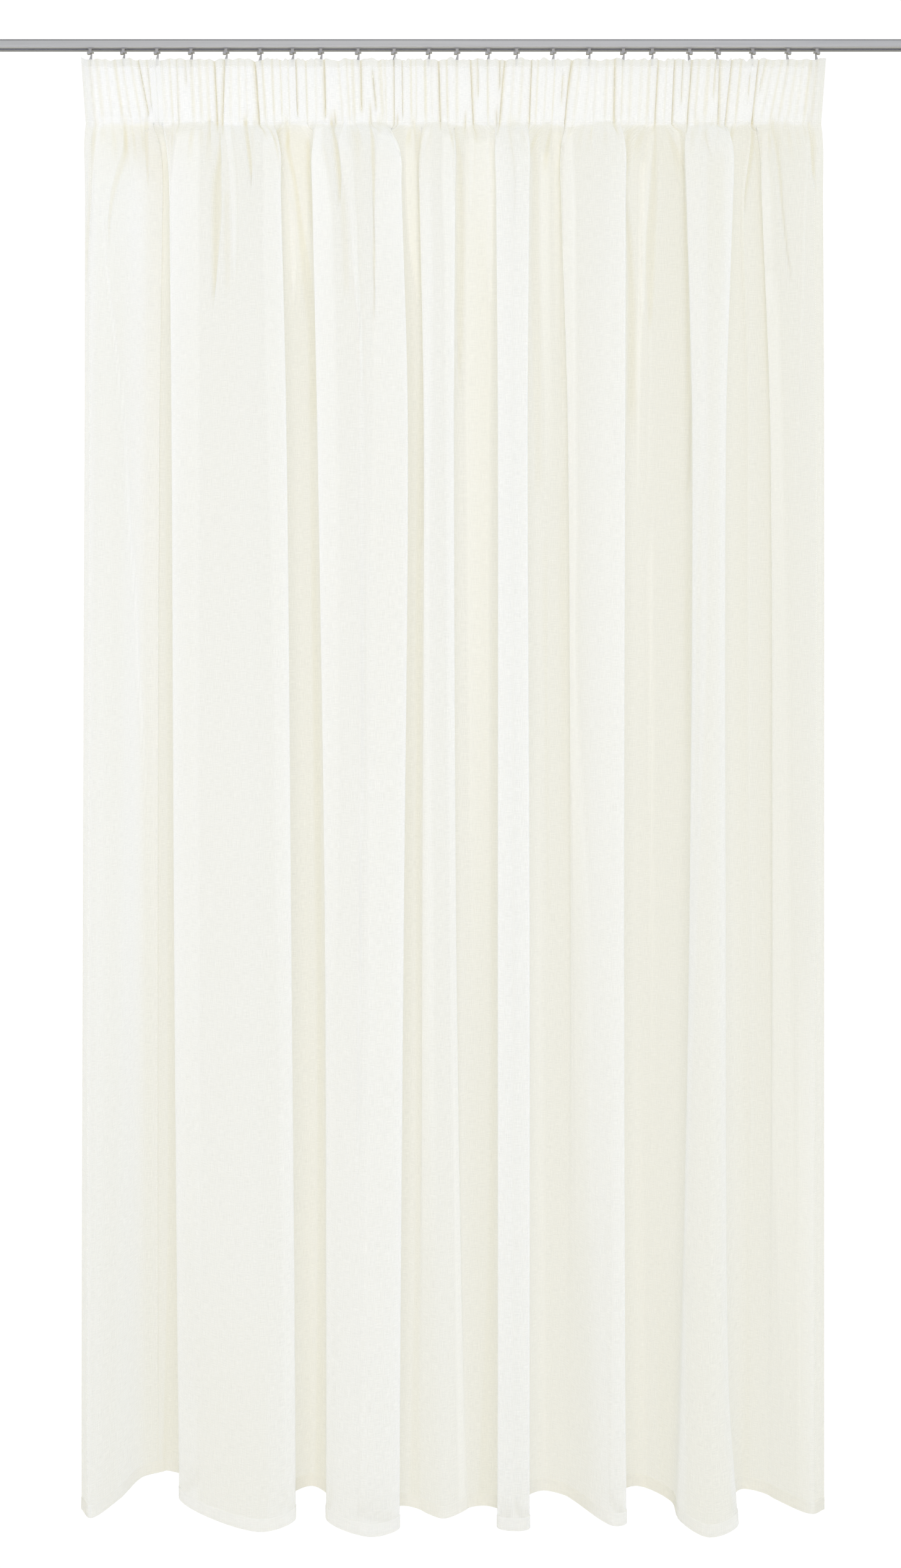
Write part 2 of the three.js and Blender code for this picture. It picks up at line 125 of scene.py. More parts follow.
# Creases and raised strips below the tape. Each row names the panel that it lies
# on and how far the cloth goes back there, or forward when below 0, and lists its course as
# (across, down from the tape, width).
# Creases that go back also get painted shade along their troughs
MARKS = [
    ("left", 5, [(-597, 0, 9), (-606, 59, 8), (-609, 121, 6), (-614, 205, 4), (-615, 257, 2)]),
    ("left", 8, [(-548, 0, 6), (-550, 38, 9), (-558, 69, 11), (-568, 106, 9), (-575, 153, 5),
        (-577, 195, 2)]),
    ("left", 9, [(-513, 0, 7), (-513, 38, 6), (-511, 85, 2)]),
    ("left", -3, [(-591, 132, 3), (-583, 226, 4), (-575, 299, 4), (-562, 404, 4), (-552, 477, 4),
        (-547, 592, 4), (-540, 706, 4), (-533, 790, 4), (-528, 916, 4), (-519, 1052, 4), (-508, 1198, 3)]),
    ("fold 1", 11, [(-407, 0, 6), (-406, 28, 3)]),
    ("fold 1", 8, [(-395, 0, 5), (-395, 14, 3)]),
    ("fold 1", 17, [(-389, 22, 2), (-390, 48, 5), (-395, 100, 15), (-396, 153, 17), (-398, 205, 13),
        (-400, 257, 8), (-401, 299, 2)]),
    ("fold 1", -7, [(-376, 11, 7), (-371, 48, 9), (-367, 100, 10), (-365, 142, 8), (-364, 205, 6),
        (-364, 257, 4)]),
    ("fold 1", 6, [(-378, 130, 9), (-377, 205, 11), (-376, 280, 9)]),
    ("fold 1", 18, [(-346, 0, 7), (-343, 32, 8), (-339, 69, 8), (-336, 106, 2)]),
    ("fold 1", 8, [(-331, 0, 5), (-331, 22, 3)]),
    ("gap 2", 16, [(-292, 0, 7), (-291, 38, 7), (-288, 69, 3)]),
    ("gap 2", -8, [(-285, 0, 5), (-284, 38, 6), (-279, 69, 6), (-273, 111, 6), (-268, 147, 7),
        (-265, 184, 8), (-264, 236, 7), (-266, 288, 5)]),
    ("gap 2", 9, [(-277, 0, 6), (-273, 38, 8), (-264, 79, 8), (-258, 121, 8), (-252, 173, 11),
        (-245, 226, 16), (-238, 288, 18), (-233, 330, 18), (-230, 500, 16)]),
    ("gap 2", 9, [(-239, 27, 8), (-238, 79, 9), (-235, 132, 7), (-233, 170, 4)]),
    ("fold 2", 22, [(-201, 0, 5), (-196, 27, 7), (-192, 64, 10), (-189, 100, 8), (-189, 137, 3)]),
    ("fold 2", 6, [(-182, 132, 9), (-178, 205, 11), (-176, 288, 10)]),
    ("fold 2", -9, [(-178, 0, 5), (-181, 32, 13), (-177, 59, 19), (-173, 90, 19), (-169, 121, 13),
        (-164, 173, 10), (-161, 236, 8), (-156, 309, 6), (-151, 362, 5), (-148, 832, 4), (-153, 1459, 4),
        (-158, 1772, 3)]),
    ("fold 2", 16, [(-137, 0, 3), (-132, 32, 7), (-131, 64, 8), (-130, 100, 6), (-130, 153, 4),
        (-129, 226, 4), (-129, 330, 2)]),
    ("fold 2", 7, [(-120, 0, 9), (-121, 22, 6)]),
    ("gap 3", 10, [(-93, 0, 5), (-92, 19, 3)]),
    ("gap 3", 10, [(-62, 0, 6), (-58, 22, 5), (-56, 59, 4), (-54, 100, 5), (-52, 153, 7), (-51, 205, 6),
        (-50, 257, 6), (-48, 309, 5), (-46, 700, 5)]),
    ("gap 4", 10, [(8, 11, 6), (12, 38, 8), (15, 59, 10), (16, 100, 12), (17, 205, 14), (16, 309, 12),
        (16, 420, 6)]),
    ("gap 4", 8, [(24, 0, 5), (24, 14, 3)]),
    ("gap 4", -6, [(30, 3, 6), (35, 22, 8), (35, 48, 8), (32, 100, 8), (30, 153, 4)]),
    ("gap 4", -6, [(63, 0, 6), (66, 48, 8), (69, 100, 9), (68, 205, 9), (66, 309, 6)]),
    ("fold 4", 6, [(96, 0, 4), (102, 38, 4), (107, 69, 4), (109, 100, 3), (109, 153, 2)]),
    ("fold 4", 6, [(104, 0, 14), (104, 14, 10)]),
    ("fold 4", 10, [(133, 0, 5), (133, 14, 3)]),
    ("gap 5", 6, [(140, 11, 6), (142, 59, 10), (143, 100, 12), (142, 205, 14), (144, 309, 16),
        (148, 600, 12)]),
    ("gap 5", -5, [(149, 0, 4), (148, 32, 4), (153, 59, 3)]),
    ("gap 5", -7, [(177, 0, 10), (178, 32, 10), (180, 59, 8)]),
    ("gap 5", 5, [(186, 11, 4), (186, 59, 5), (185, 205, 4), (187, 309, 4), (192, 600, 4)]),
    ("fold 5", -5, [(239, 0, 4), (240, 22, 4), (247, 55, 3)]),
    ("fold 5", 8, [(239, 11, 4), (239, 32, 3)]),
    ("fold 5", 8, [(279, 0, 5), (279, 14, 3)]),
    ("gap 6", 12, [(299, 11, 8), (299, 48, 6), (297, 79, 3), (297, 121, 3), (302, 184, 9), (305, 257, 12),
        (306, 309, 14), (306, 500, 14)]),
    ("gap 6", -5, [(312, 0, 4), (308, 27, 4), (305, 59, 3)]),
    ("gap 6", -8, [(340, 3, 9), (334, 32, 10), (330, 69, 12), (328, 121, 10), (327, 163, 8), (326, 226, 6),
        (324, 309, 6)]),
    ("gap 6", 10, [(346, 11, 4), (344, 48, 8), (343, 90, 12), (341, 132, 15), (338, 184, 17),
        (337, 257, 14), (337, 330, 6)]),
    ("gap 6", -4, [(355, 48, 3), (347, 173, 4), (337, 330, 4), (338, 700, 4), (341, 1500, 3)]),
    ("gap 6", -7, [(380, 3, 8), (385, 32, 8), (388, 59, 7), (385, 100, 5)]),
    ("gap 6", 10, [(390, 0, 5), (392, 27, 4), (393, 69, 4), (395, 121, 6), (397, 184, 8), (399, 247, 8),
        (400, 309, 8), (404, 600, 6)]),
    ("fold 6", 7, [(416, 0, 8), (416, 22, 5)]),
    ("fold 6", 7, [(441, 3, 4), (431, 17, 4), (434, 43, 4), (440, 64, 3)]),
    ("fold 6", 7, [(448, 0, 4), (451, 22, 4), (447, 38, 3)]),
    ("gap 7", 12, [(472, 0, 6), (475, 25, 3)]),
    ("gap 7", -6, [(507, 0, 5), (503, 32, 5), (497, 69, 5), (494, 100, 5), (493, 153, 5), (494, 205, 5),
        (498, 309, 4), (504, 518, 4), (508, 1250, 4), (510, 1877, 3)]),
    ("gap 7", 16, [(510, 0, 6), (509, 32, 7), (504, 69, 6), (500, 100, 5), (497, 132, 2)]),
    ("gap 7", 4, [(516, 32, 5), (521, 90, 6), (525, 153, 8), (531, 257, 9), (535, 420, 7)]),
    ("right", 11, [(543, 3, 7), (551, 38, 7), (556, 79, 7), (559, 121, 6), (564, 173, 5), (569, 215, 4),
        (575, 257, 2)]),
    ("right", 7, [(564, 0, 4), (564, 22, 3)]),
    ("right", -4, [(602, 38, 3), (600, 100, 4), (598, 153, 4), (596, 205, 4), (595, 288, 4),
        (581, 623, 3)]),
    ("right", 10, [(604, 3, 5), (609, 38, 6), (613, 79, 6), (617, 106, 2)]),
]

# Where the cloth lies double, and where shade is painted on it. Each row names the panel, lists its
# course as (across, down from the tape, width, strength), and either closes the weave or paints shade on
# it.
CLOSED = [
    ("left", [(-545, 0, 118, 0.8), (-545, 100, 118, 1), (-548, 257, 118, 0.7), (-548, 420, 118, 0.45),
        (-548, 830, 118, 0.4), (-548, 1350, 118, 0.4), (-548, 1880, 118, 0.1), (-548, 2100, 118, 0)]),
    ("gap 1", [(-483, 20, 18, 1), (-482, 100, 18, 1), (-482, 205, 16, 0.8), (-482, 330, 14, 0)]),
    ("fold 1", [(-442, 20, 42, 0.7), (-448, 100, 47, 0.65), (-448, 205, 47, 0.5), (-448, 420, 47, 0.3),
        (-447, 830, 47, 0.1), (-446, 1350, 44, 0.3), (-443, 1770, 42, 0.2), (-440, 2050, 40, 0)]),
    ("fold 1", [(-308, 27, 17, 0.4), (-305, 59, 25, 0.4), (-302, 100, 28, 0.4), (-300, 205, 35, 0.3),
        (-297, 309, 36, 0.2), (-296, 420, 35, 0.2), (-287, 830, 28, 0.1), (-281, 1350, 26, 0.1)]),
    ("fold 1", [(-440, 2060, 38, 0), (-441, 2200, 36, 0.2), (-441, 2400, 34, 0.2)]),
    ("fold 1", [(-279, 1350, 26, 0), (-274, 1770, 24, 0.15), (-271, 2400, 20, 0.25)]),
    ("gap 2", [(-262, 10, 46, 1), (-262, 100, 42, 1), (-264, 205, 34, 0.7), (-268, 320, 20, 0)]),
    ("gap 2", [(-244, 10, 14, 0.8), (-246, 100, 14, 0.9), (-242, 205, 10, 0.7), (-238, 280, 8, 0)]),
    ("gap 2", [(-244, 1300, 56, 0), (-240, 1880, 56, 0.35), (-238, 2400, 56, 0.45)]),
    ("fold 2", [(-224, 10, 16, 0.8), (-224, 50, 20, 0.9), (-219, 100, 27, 0.9), (-214, 205, 32, 0.7),
        (-210, 420, 33, 0.45), (-205, 830, 33, 0.15), (-200, 1350, 23, 0.1)]),
    ("fold 2", [(-108, 27, 31, 0.5), (-104, 100, 45, 0.6), (-104, 205, 49, 0.5), (-103, 309, 55, 0.3),
        (-102, 420, 58, 0.2), (-105, 830, 61, 0)]),
    ("fold 2", [(-105, 830, 61, 0), (-110, 1350, 60, 0.2), (-114, 1880, 64, 0.1), (-121, 2400, 70, 0.2)]),
    ("gap 3", [(-69, 12, 18, 0.9), (-67, 100, 19, 1), (-62, 205, 14, 1), (-53, 290, 4, 0.8)]),
    ("fold 3", [(-40, 17, 14, 0.6), (-42, 100, 18, 0.6), (-40, 205, 18, 0.6), (-39, 420, 15, 0.5),
        (-41, 830, 12, 0.5), (-38, 1350, 18, 0.6), (-34, 1880, 22, 0.2)]),
    ("fold 3", [(-6, 27, 16, 0.8), (-5, 100, 20, 0.8), (-2, 205, 18, 0.6), (-2, 420, 16, 0.3),
        (0, 830, 14, 0.4), (4, 1350, 12, 0.4), (9, 1770, 9, 0.5), (14, 2090, 9, 0.6),
        (20, 2400, 11, 0.7)]),
    ("gap 4", [(49, 32, 50, 0.9), (49, 100, 50, 1), (47, 420, 46, 0.9), (46, 830, 40, 0.8),
        (49, 1350, 35, 0.3), (49, 1560, 30, 0)]),
    ("gap 5", [(159, 48, 17, 0.9), (160, 257, 16, 0.7), (164, 420, 14, 0.5), (166, 620, 10, 0.1)]),
    ("gap 5", [(181, 20, 16, 0.7), (181, 100, 16, 0.7), (182, 250, 14, 0.4), (184, 400, 12, 0)]),
    ("gap 5", [(140, 1000, 20, 0), (142, 1350, 22, 0.5), (145, 1880, 28, 0.6), (148, 2400, 32, 0.5)]),
    ("fold 5", [(200, 17, 14, 1), (200, 100, 20, 1.3), (201, 205, 20, 1.3), (202, 420, 20, 1.3),
        (204, 675, 18, 1.3), (207, 940, 13, 1.2), (222, 1350, 28, 0.4), (227, 1880, 32, 0.3)]),
    ("fold 5", [(284, 1350, 34, 0), (286, 1880, 28, 0.2), (282, 2400, 26, 0.3)]),
    ("gap 6", [(300, 1500, 40, 0.1), (304, 1880, 44, 0.4), (310, 2400, 44, 0.4)]),
    ("gap 6", [(323, 60, 9, 0.8), (321, 257, 8, 0.9), (317, 420, 8, 0.9), (316, 620, 6, 0.3)]),
    ("gap 6", [(336, 720, 9, 0.5), (338, 830, 9, 0.6), (340, 1350, 8, 0.3), (342, 1770, 8, 0.1)]),
    ("right", [(600, 1350, 30, 0), (600, 1700, 30, 0.7), (600, 2100, 30, 0.6), (600, 2400, 30, 0.4)]),
    ("right", [(528, 20, 16, 0.8), (533, 100, 18, 1), (537, 205, 16, 0.8), (538, 300, 14, 0.3)]),
    ("right", [(540, 257, 26, 0.6), (543, 420, 30, 0.9), (554, 830, 30, 0.5), (556, 1350, 36, 0.6),
        (568, 1880, 36, 0.5), (577, 2190, 30, 0.2)]),
]
# Strips of painted shade, mostly beside the folds' edges, that turn the cloth yellower
PAINTED_SHADE_STRIPS = [
    ("left", [(-491, 2050, 8, 0), (-490, 2250, 10, 0.5), (-489, 2400, 12, 0.8)]),
    ("gap 1", [(-478, 420, 8, 0.3), (-475, 830, 10, 0.5), (-472, 1350, 12, 0.5), (-470, 1880, 16, 0.8),
        (-472, 2400, 30, 0.9)]),
    ("fold 1", [(-368, 1900, 120, 0), (-368, 2150, 120, 0.3), (-368, 2400, 120, 0.35)]),
    ("gap 2", [(-234, 420, 10, 0.2), (-229, 830, 12, 0.9), (-222, 1350, 12, 0.9), (-218, 1880, 13, 0.6),
        (-220, 2400, 20, 0.7)]),
    ("gap 3", [(-51, 420, 8, 0.5), (-53, 830, 10, 1), (-54, 1350, 10, 0.7), (-54, 1880, 12, 0.6),
        (-60, 2400, 24, 0.6)]),
    ("gap 4", [(73, 830, 9, 0.4), (73, 1350, 9, 0.5), (70, 1880, 14, 0.5), (62, 2400, 38, 0.6)]),
    ("gap 4", [(50, 1600, 50, 0.05), (50, 1880, 56, 0.15), (50, 2400, 64, 0.2)]),
    ("gap 5", [(160, 720, 6, 0.4), (160, 830, 6, 0.6), (163, 1150, 6, 0.4), (166, 1350, 6, 0.3)]),
    ("gap 5", [(190, 620, 9, 0.3), (191, 830, 12, 0.5), (193, 1200, 10, 0.2)]),
    ("gap 6", [(366, 1900, 36, 0), (368, 2100, 36, 0.3), (370, 2400, 34, 0.4)]),
    ("gap 6", [(400, 720, 10, 0.3), (400, 830, 10, 0.6), (402, 1100, 8, 0.4)]),
    ("fold 6", [(448, 40, 30, 0), (448, 90, 30, 0.5), (450, 400, 32, 0.35), (450, 830, 34, 0.5),
        (440, 1350, 50, 0.55), (432, 1880, 66, 0.6), (438, 2400, 84, 0.6)]),
    ("fold 6", [(425, 620, 8, 0.2), (421, 720, 8, 0.4), (419, 830, 8, 0.5), (417, 990, 8, 0.4),
        (414, 1150, 8, 0.3), (410, 1350, 8, 0.1)]),
    ("gap 7", [(482, 40, 30, 0.2), (482, 205, 34, 0.6), (484, 350, 40, 0.5), (482, 830, 40, 0.6),
        (482, 1350, 40, 0.4), (486, 1880, 40, 0.3), (486, 2400, 40, 0.5)]),
]

# The cloth as a grid with close threads across its upper part. Rows are spans from the top down.
UPPER_COLUMNS, TAPE_COLUMNS = 1121, 900
UPPER_ROWS = [
    (HEADER_TOP, TAPE_TOP, 3), (TAPE_TOP, TAPE_BOTTOM, 11), (TAPE_BOTTOM, -243, 19),
    (-243, -420, 14), (-420, -560, 7),
]
LOWER_ROWS = [
    (-560, -1500, 22), (-1500, HEM_TOP + 1, 18), (HEM_TOP + 1, HEM_TOP, 1),
    (HEM_TOP, HEM_LINE + 1.5, 3), (HEM_LINE + 1.5, HEM_LINE, 1),
]

# How far behind the cloth its turned hems lie, and how far back the tape and what is on it are set
HEM_GAP, FRILL_GAP, SIDE_HEM_GAP = 0.8, 0.5, 1.3
TAPE_BACK, POCKET_BACK, CORD_BACK = 1.3, 1.5, 1.9

# The stitches of each seam, and the cords and hook pockets woven into the back of the tape
STITCH_PITCH, STITCH_LENGTH = 4, 3
STITCH_RADII = (0.07, 0.16, 0.07)
TAPE_CORDS, CORD_RADIUS = (-58, -93, -128), 0.55
TAPE_POCKETS = (-62, -104)
POCKET_PITCH, POCKET_WIDTH, POCKET_HEIGHT = 25, 9, 20

# How close the threads stand on a fold's front, behind its edges and in the gaps between folds
FRONT_DENSITY, LAP_DENSITY, GAP_DENSITY = 1.0, 0.45, 0.85


def eased(x):
    x = np.clip(x, 0, 1)
    return x * x * (3 - 2 * x)


# A smooth curve through the values at rising places, read at other places
def through(places, values, at):
    places, values = np.asarray(places, float), np.asarray(values, float)
    ends = np.clip(np.arange(len(places))[:, None] + np.array([-1, 1]), 0, len(places) - 1)
    slopes = np.diff(values[ends])[:, 0] / np.diff(places[ends])[:, 0]
    at = np.clip(at, places[0], places[-1])
    i = np.clip(np.searchsorted(places, at, side="right") - 1, 0, len(places) - 2)
    span = places[i + 1] - places[i]
    t = (at - places[i]) / span
    return (
        (2 * t**3 - 3 * t**2 + 1) * values[i]
        + (t**3 - 2 * t**2 + t) * span * slopes[i]
        + (3 * t**2 - 2 * t**3) * values[i + 1]
        + (t**3 - t**2) * span * slopes[i + 1]
    )


def at_height(values, z):
    return through(-LEVELS, values, -z)


# The points where the cloth turns on its way from left to right, as two arrays of height by point,
# and where each leaves the tape if that is set
def turning_points(z):
    share = at_height(DEPTH_SHARE, z)
    across, deep, roots = [], [], []

    def at(row, key):
        return at_height(row[key], z)

    def turn(x, depth, root=None):
        y = depth * share
        across.append(x * (1 + y / CAMERA_DISTANCE))
        deep.append(y)
        roots.append(root)

    def between(edge, valley):
        return edge + (valley - edge) * LAP_DEPTH

    crest, right = at(LEFT_EDGE, "crest"), at(LEFT_EDGE, "right")
    turn(at(LEFT_EDGE, "edge"), LEFT_EDGE["edge_depth"], LEFT_EDGE["roots"][0])
    turn(crest, LEFT_EDGE["crest_depth"])
    for part, depth in zip(LEFT_EDGE["slope_at"], LEFT_EDGE["slope_depths"]):
        turn(crest + (right - crest) * part, depth)
    turn(right, LEFT_EDGE["right_depth"], LEFT_EDGE["roots"][1])
    turn(right - at(LEFT_EDGE, "lap_right"), LEFT_EDGE["lap_depth"])
    last_valley = LEFT_EDGE["valley_depth"]
    turn(at(LEFT_EDGE, "valley"), last_valley)
    for fold in FOLDS:
        left, right = at(fold, "left"), at(fold, "right")
        # Depths hold at the hem. Above it, a fold may stand further out, and a valley further back.
        forward, back = (at(fold, key) / share if key in fold else 0 for key in ("forward", "valley_back"))
        left_depth, right_depth = fold["left_depth"] - forward, fold["right_depth"] - forward
        valley_depth = fold["valley_depth"] + back
        turn(left + at(fold, "lap_left"), between(left_depth, last_valley))
        turn(left, left_depth, fold["roots"][0])
        turn(left + (right - left) * fold["crest_at"], fold["crest_depth"] - forward)
        turn(right, right_depth, fold["roots"][1])
        turn(right - at(fold, "lap_right"), between(right_depth, valley_depth))
        turn(at(fold, "valley"), valley_depth)
        last_valley = valley_depth
    left = at(RIGHT_PANEL, "left")
    turn(left + at(RIGHT_PANEL, "lap_left"), between(RIGHT_PANEL["left_depth"], last_valley))
    turn(left, RIGHT_PANEL["left_depth"], RIGHT_PANEL["roots"][0])
    turn(at(RIGHT_PANEL, "crest"), RIGHT_PANEL["crest_depth"])
    turn(at(RIGHT_PANEL, "edge"), RIGHT_PANEL["edge_depth"], RIGHT_PANEL["roots"][1])
    return np.array(across).T, np.array(deep).T, roots


# A smooth curve through the turning points of each row, at the places along, counted in points
def fold_curves(across, deep, along):
    def with_ends(values):
        first = 2 * values[:, :1] - values[:, 1:2]
        last = 2 * values[:, -1:] - values[:, -2:-1]
        return np.hstack([first, values, last])

    i = np.clip(along.astype(int), 0, across.shape[1] - 2)
    t = along - i
    x, y = with_ends(across), with_ends(deep)
    steps = np.hypot(np.diff(x, axis=1), np.diff(y, axis=1)) ** 0.5
    before, here, after = steps[:, i], steps[:, i + 1], steps[:, i + 2]

    def curve(values):
        a, b, c, d = (values[:, i + k] for k in range(4))
        start = ((b - a) / before - (c - a) / (before + here) + (c - b) / here) * here
        end = ((c - b) / here - (d - b) / (here + after) + (d - c) / after) * here
        return (
            b + start * t
            + (-3 * b + 3 * c - 2 * start - end) * t**2
            + (2 * b - 2 * c + start + end) * t**3
        )

    return curve(x), curve(y)


# Where the turning points lie along the cloth, as the mean of the levels. The cloth is as wide as
# its hem is long.
def point_runs(steps=24):
    across, deep, roots = turning_points(LEVELS)
    points = across.shape[1]
    along = np.linspace(0, points - 1, (points - 1) * steps + 1)
    x, y = fold_curves(across, deep, along)
    length = np.hypot(np.diff(x, axis=1), np.diff(y, axis=1))
    runs = np.cumsum(length, axis=1)[:, steps - 1 :: steps]
    width = runs[-1, -1]
    runs *= width / runs[:, -1:]
    return np.concatenate([[0], runs.mean(axis=0)]), roots


POINT_RUNS, ROOTS = point_runs()
FLAT_WIDTH = POINT_RUNS[-1]
rooted = [k for k, root in enumerate(ROOTS) if root is not None]
ROOT_RUNS = POINT_RUNS[rooted]
ROOT_PLACES = np.array([ROOTS[k] for k in rooted], float)

# The first and last turning point of each panel. The left panel and the gap next to it have seven
# points. Each fold has six: the end of its left lap, its left edge, its crest, its right edge, the
# end of its right lap, and the next valley.
FIRST_FOLD, FOLD_POINTS = 7, 6
PANELS = {"left": (0, 4), "gap 1": (5, 7)}
LAPS = [4]
for number in range(len(FOLDS)):
    start = FIRST_FOLD + FOLD_POINTS * number
    PANELS[f"fold {number + 1}"] = (start + 1, start + 3)
    PANELS[f"gap {number + 2}"] = (start + 4, start + 6)
    LAPS += [start, start + 3]
PANELS["right"] = (len(POINT_RUNS) - 3, len(POINT_RUNS) - 1)


# Smooth noise of about the given wavelength along one line
def wander(x, wavelength, seed):
    rng = np.random.default_rng(seed)
    total = np.zeros_like(x, dtype=float)
    for stretch in (0.7, 1.0, 1.45):
        phase = rng.uniform(0, math.tau)
        pull = rng.uniform(0.8, 1.2)
        total += pull * np.sin(math.tau * x / (wavelength * stretch) + phase)
    return total / 2


# Places for the threads across the cloth, closer together where more of it shows
def thread_runs(count):
    density = np.full(len(POINT_RUNS) - 1, GAP_DENSITY)
    for name, (first, last) in PANELS.items():
        if not name.startswith("gap"):
            density[first:last] = FRONT_DENSITY
    density[LAPS] = LAP_DENSITY
    counted = np.concatenate([[0], np.cumsum(np.diff(POINT_RUNS) * density)])
    return np.interp(np.linspace(0, counted[-1], count), counted, POINT_RUNS)


# The two kinds of crease in the header, and how much more painted shade each shallow one gets where
# the pleats fan out below the tape, on a fold and in a gap
DEEP = dict(width=(4.0, 5.2), pinch=0.3, length=(14, 44))
SHALLOW = dict(width=(4.5, 6.5), pinch=0.12, length=(30, 120))
FANNED_SHADE_ON_FOLD, FANNED_SHADE_IN_GAP = 0.5, 1.2
# Full creases need this many widths of cloth gathered into one
GATHERED = 2


# The header's creases: those that show, and shallower ones between them at the pitch of the pleats
def header_creases(pitch=13.2, reach=7, seed=5):
    rng = np.random.default_rng(seed)
    places = [(ROOT_PLACES[0], 0, 0)] + HEADER_CREASES + [(ROOT_PLACES[-1], 0, 0)]
    creases = []
    for (x, lean, depth, *ends), (next_x, next_lean, *_) in zip(places, places[1:]):
        if depth:
            top, foot = ends or (0, 1)
            tilt = rng.uniform(-0.5, 0.5)
            creases.append(dict(deep=True, x=x, lean=lean, depth=depth, top=top, foot=foot, tilt=tilt))
        count = max(1, round((next_x - x) / pitch))
        for k in range(1, count):
            share = k / count
            creases.append(dict(
                deep=False,
                x=x + (next_x - x) * share + rng.uniform(-1.8, 1.8),
                lean=lean + (next_lean - lean) * share,
                depth=rng.uniform(1.8, 3.6),
                top=0, foot=1,
                tilt=rng.uniform(-0.4, 0.4),
            ))
    edges = [panel["roots"] for panel in (LEFT_EDGE, *FOLDS, RIGHT_PANEL)]
    for crease in creases:
        kind = DEEP if crease["deep"] else SHALLOW
        around = crease["x"] + np.array([0, -reach, reach])
        crease["run"], before, after = np.interp(around, ROOT_PLACES, ROOT_RUNS)
        fullness = min(1, (after - before) / (2 * reach * GATHERED))
        crease["width"] = fullness * rng.uniform(*kind["width"])
        crease["pinch"] = kind["pinch"]
        crease["length"] = rng.uniform(*kind["length"])
        crease["drift"] = rng.uniform(-0.1, 0.1)
        # How much painted shade each crease gets in a band, and how wide that band is
        crease["cream"], crease["spread"] = rng.uniform(0.2, 0.65), rng.uniform(0.7, 1.3)
        on_fold = any(left < crease["x"] < right for left, right in edges)
        crease["fan"] = FANNED_SHADE_ON_FOLD if on_fold else FANNED_SHADE_IN_GAP
    return creases


CREASES = header_creases()


# Where the middle of the cloth goes at runs and heights before it is creased
def smooth_cloth(runs, z):
    along = np.interp(runs, POINT_RUNS, np.arange(len(POINT_RUNS)))
    across, deep, _ = turning_points(z)
    fold_x, fold_y = fold_curves(across, deep, along)
    below = (TAPE_BOTTOM - z)[:, None]
    above = np.clip(-below, 0, None) / (HEADER_TOP - TAPE_BOTTOM)
    opened = (1 - (1 - np.clip(below / OPEN_LENGTH, 0, 1)) ** OPEN_SNAP) * eased(below / 10)
    gathered = np.interp(runs, ROOT_RUNS, ROOT_PLACES)[None, :] * (1 + HEADER_FLARE * above)
    x = gathered + (fold_x - gathered) * opened
    y = HEADER_PLANE + (fold_y - HEADER_PLANE) * opened
    return x, y


# How much of one header crease is left at each height, and how far beside it each place lies,
# counted in its widths
def crease_share(crease, runs, z):
    down = np.clip(TAPE_BOTTOM - z, 0, None)[:, None]
    on_tape = np.clip((TAPE_TOP - z) / (TAPE_TOP - TAPE_BOTTOM), -0.1, 1)[:, None]
    soft_end = 0.12
    alive = 1 - eased(down / crease["length"])
    if crease["top"] > 0:
        alive = alive * eased((on_tape - crease["top"]) / soft_end)
    if crease["foot"] < 1:
        alive = alive * eased((crease["foot"] - on_tape) / soft_end)
    width = crease["width"] * (1 + 1.2 * down / (down + 120))
    centre = crease["run"] + GATHERED * crease["lean"] * on_tape + crease["drift"] * down
    return alive, (runs[None, :] - centre) / width


# The share of the header creases' depths that is used, and by how much the header comes forward
# again to keep its place
CREASE_DEPTH, CREASE_MEAN = 0.62, 3.6


# How far the header's creases take each place of a grid back and to the side, and how much painted
# shade it gets from them. scale makes all the creases shallower.
def crease_steps(runs, z, scale):
    below = (TAPE_BOTTOM - z)[:, None]
    back, side, painted_shade_and_tint = np.zeros((3, len(z), len(runs)))
    fade_in = eased((HEADER_TOP + 6 - z) / 22)[:, None]
    # The tape's lower edge and the cloth right below it get less painted shade, painted as whiter lobes
    painted_light_lobes = eased((16 + below) / 8) * eased((20 - below) / 16)
    # Further down the pleats fan out as they open into the folds
    fanned = eased((below - 5) / 25)
    for crease in CREASES:
        alive, u = crease_share(crease, runs, z)
        share = np.exp(-np.abs(u) ** 1.5) * alive * scale
        depth = CREASE_DEPTH * crease["depth"] * (0.55 + 0.45 * fade_in)
        # Painted shade in the creases: the deep ones by their depth, the shallow ones in a band that
        # darkens where the pleats fan out
        if crease["deep"]:
            painted_shade_and_tint += share * (crease["depth"] - 1) / 7
        else:
            depth = depth * (1 + 0.9 * fanned)
            band = np.exp(-np.abs(u / crease["spread"]) ** 6) * alive
            painted_shade_and_tint += crease["cream"] * band * (1 - 0.6 * painted_light_lobes + crease["fan"] * fanned)
        back += depth * share
        side += depth * crease["tilt"] * share - crease["pinch"] * crease["width"] * u * share
    back -= CREASE_MEAN * scale * (1 - eased(below / 120))
    return back, side, painted_shade_and_tint


# The shares of the marks' depths and of the painted shade that are used. Closer cloth or painted
# shade that reaches a panel's edge goes on past it by some mm.
MARK_DEPTH = 0.5
PAINTED_SHADE_SHARE = 0.55
PAST_EDGE = 7


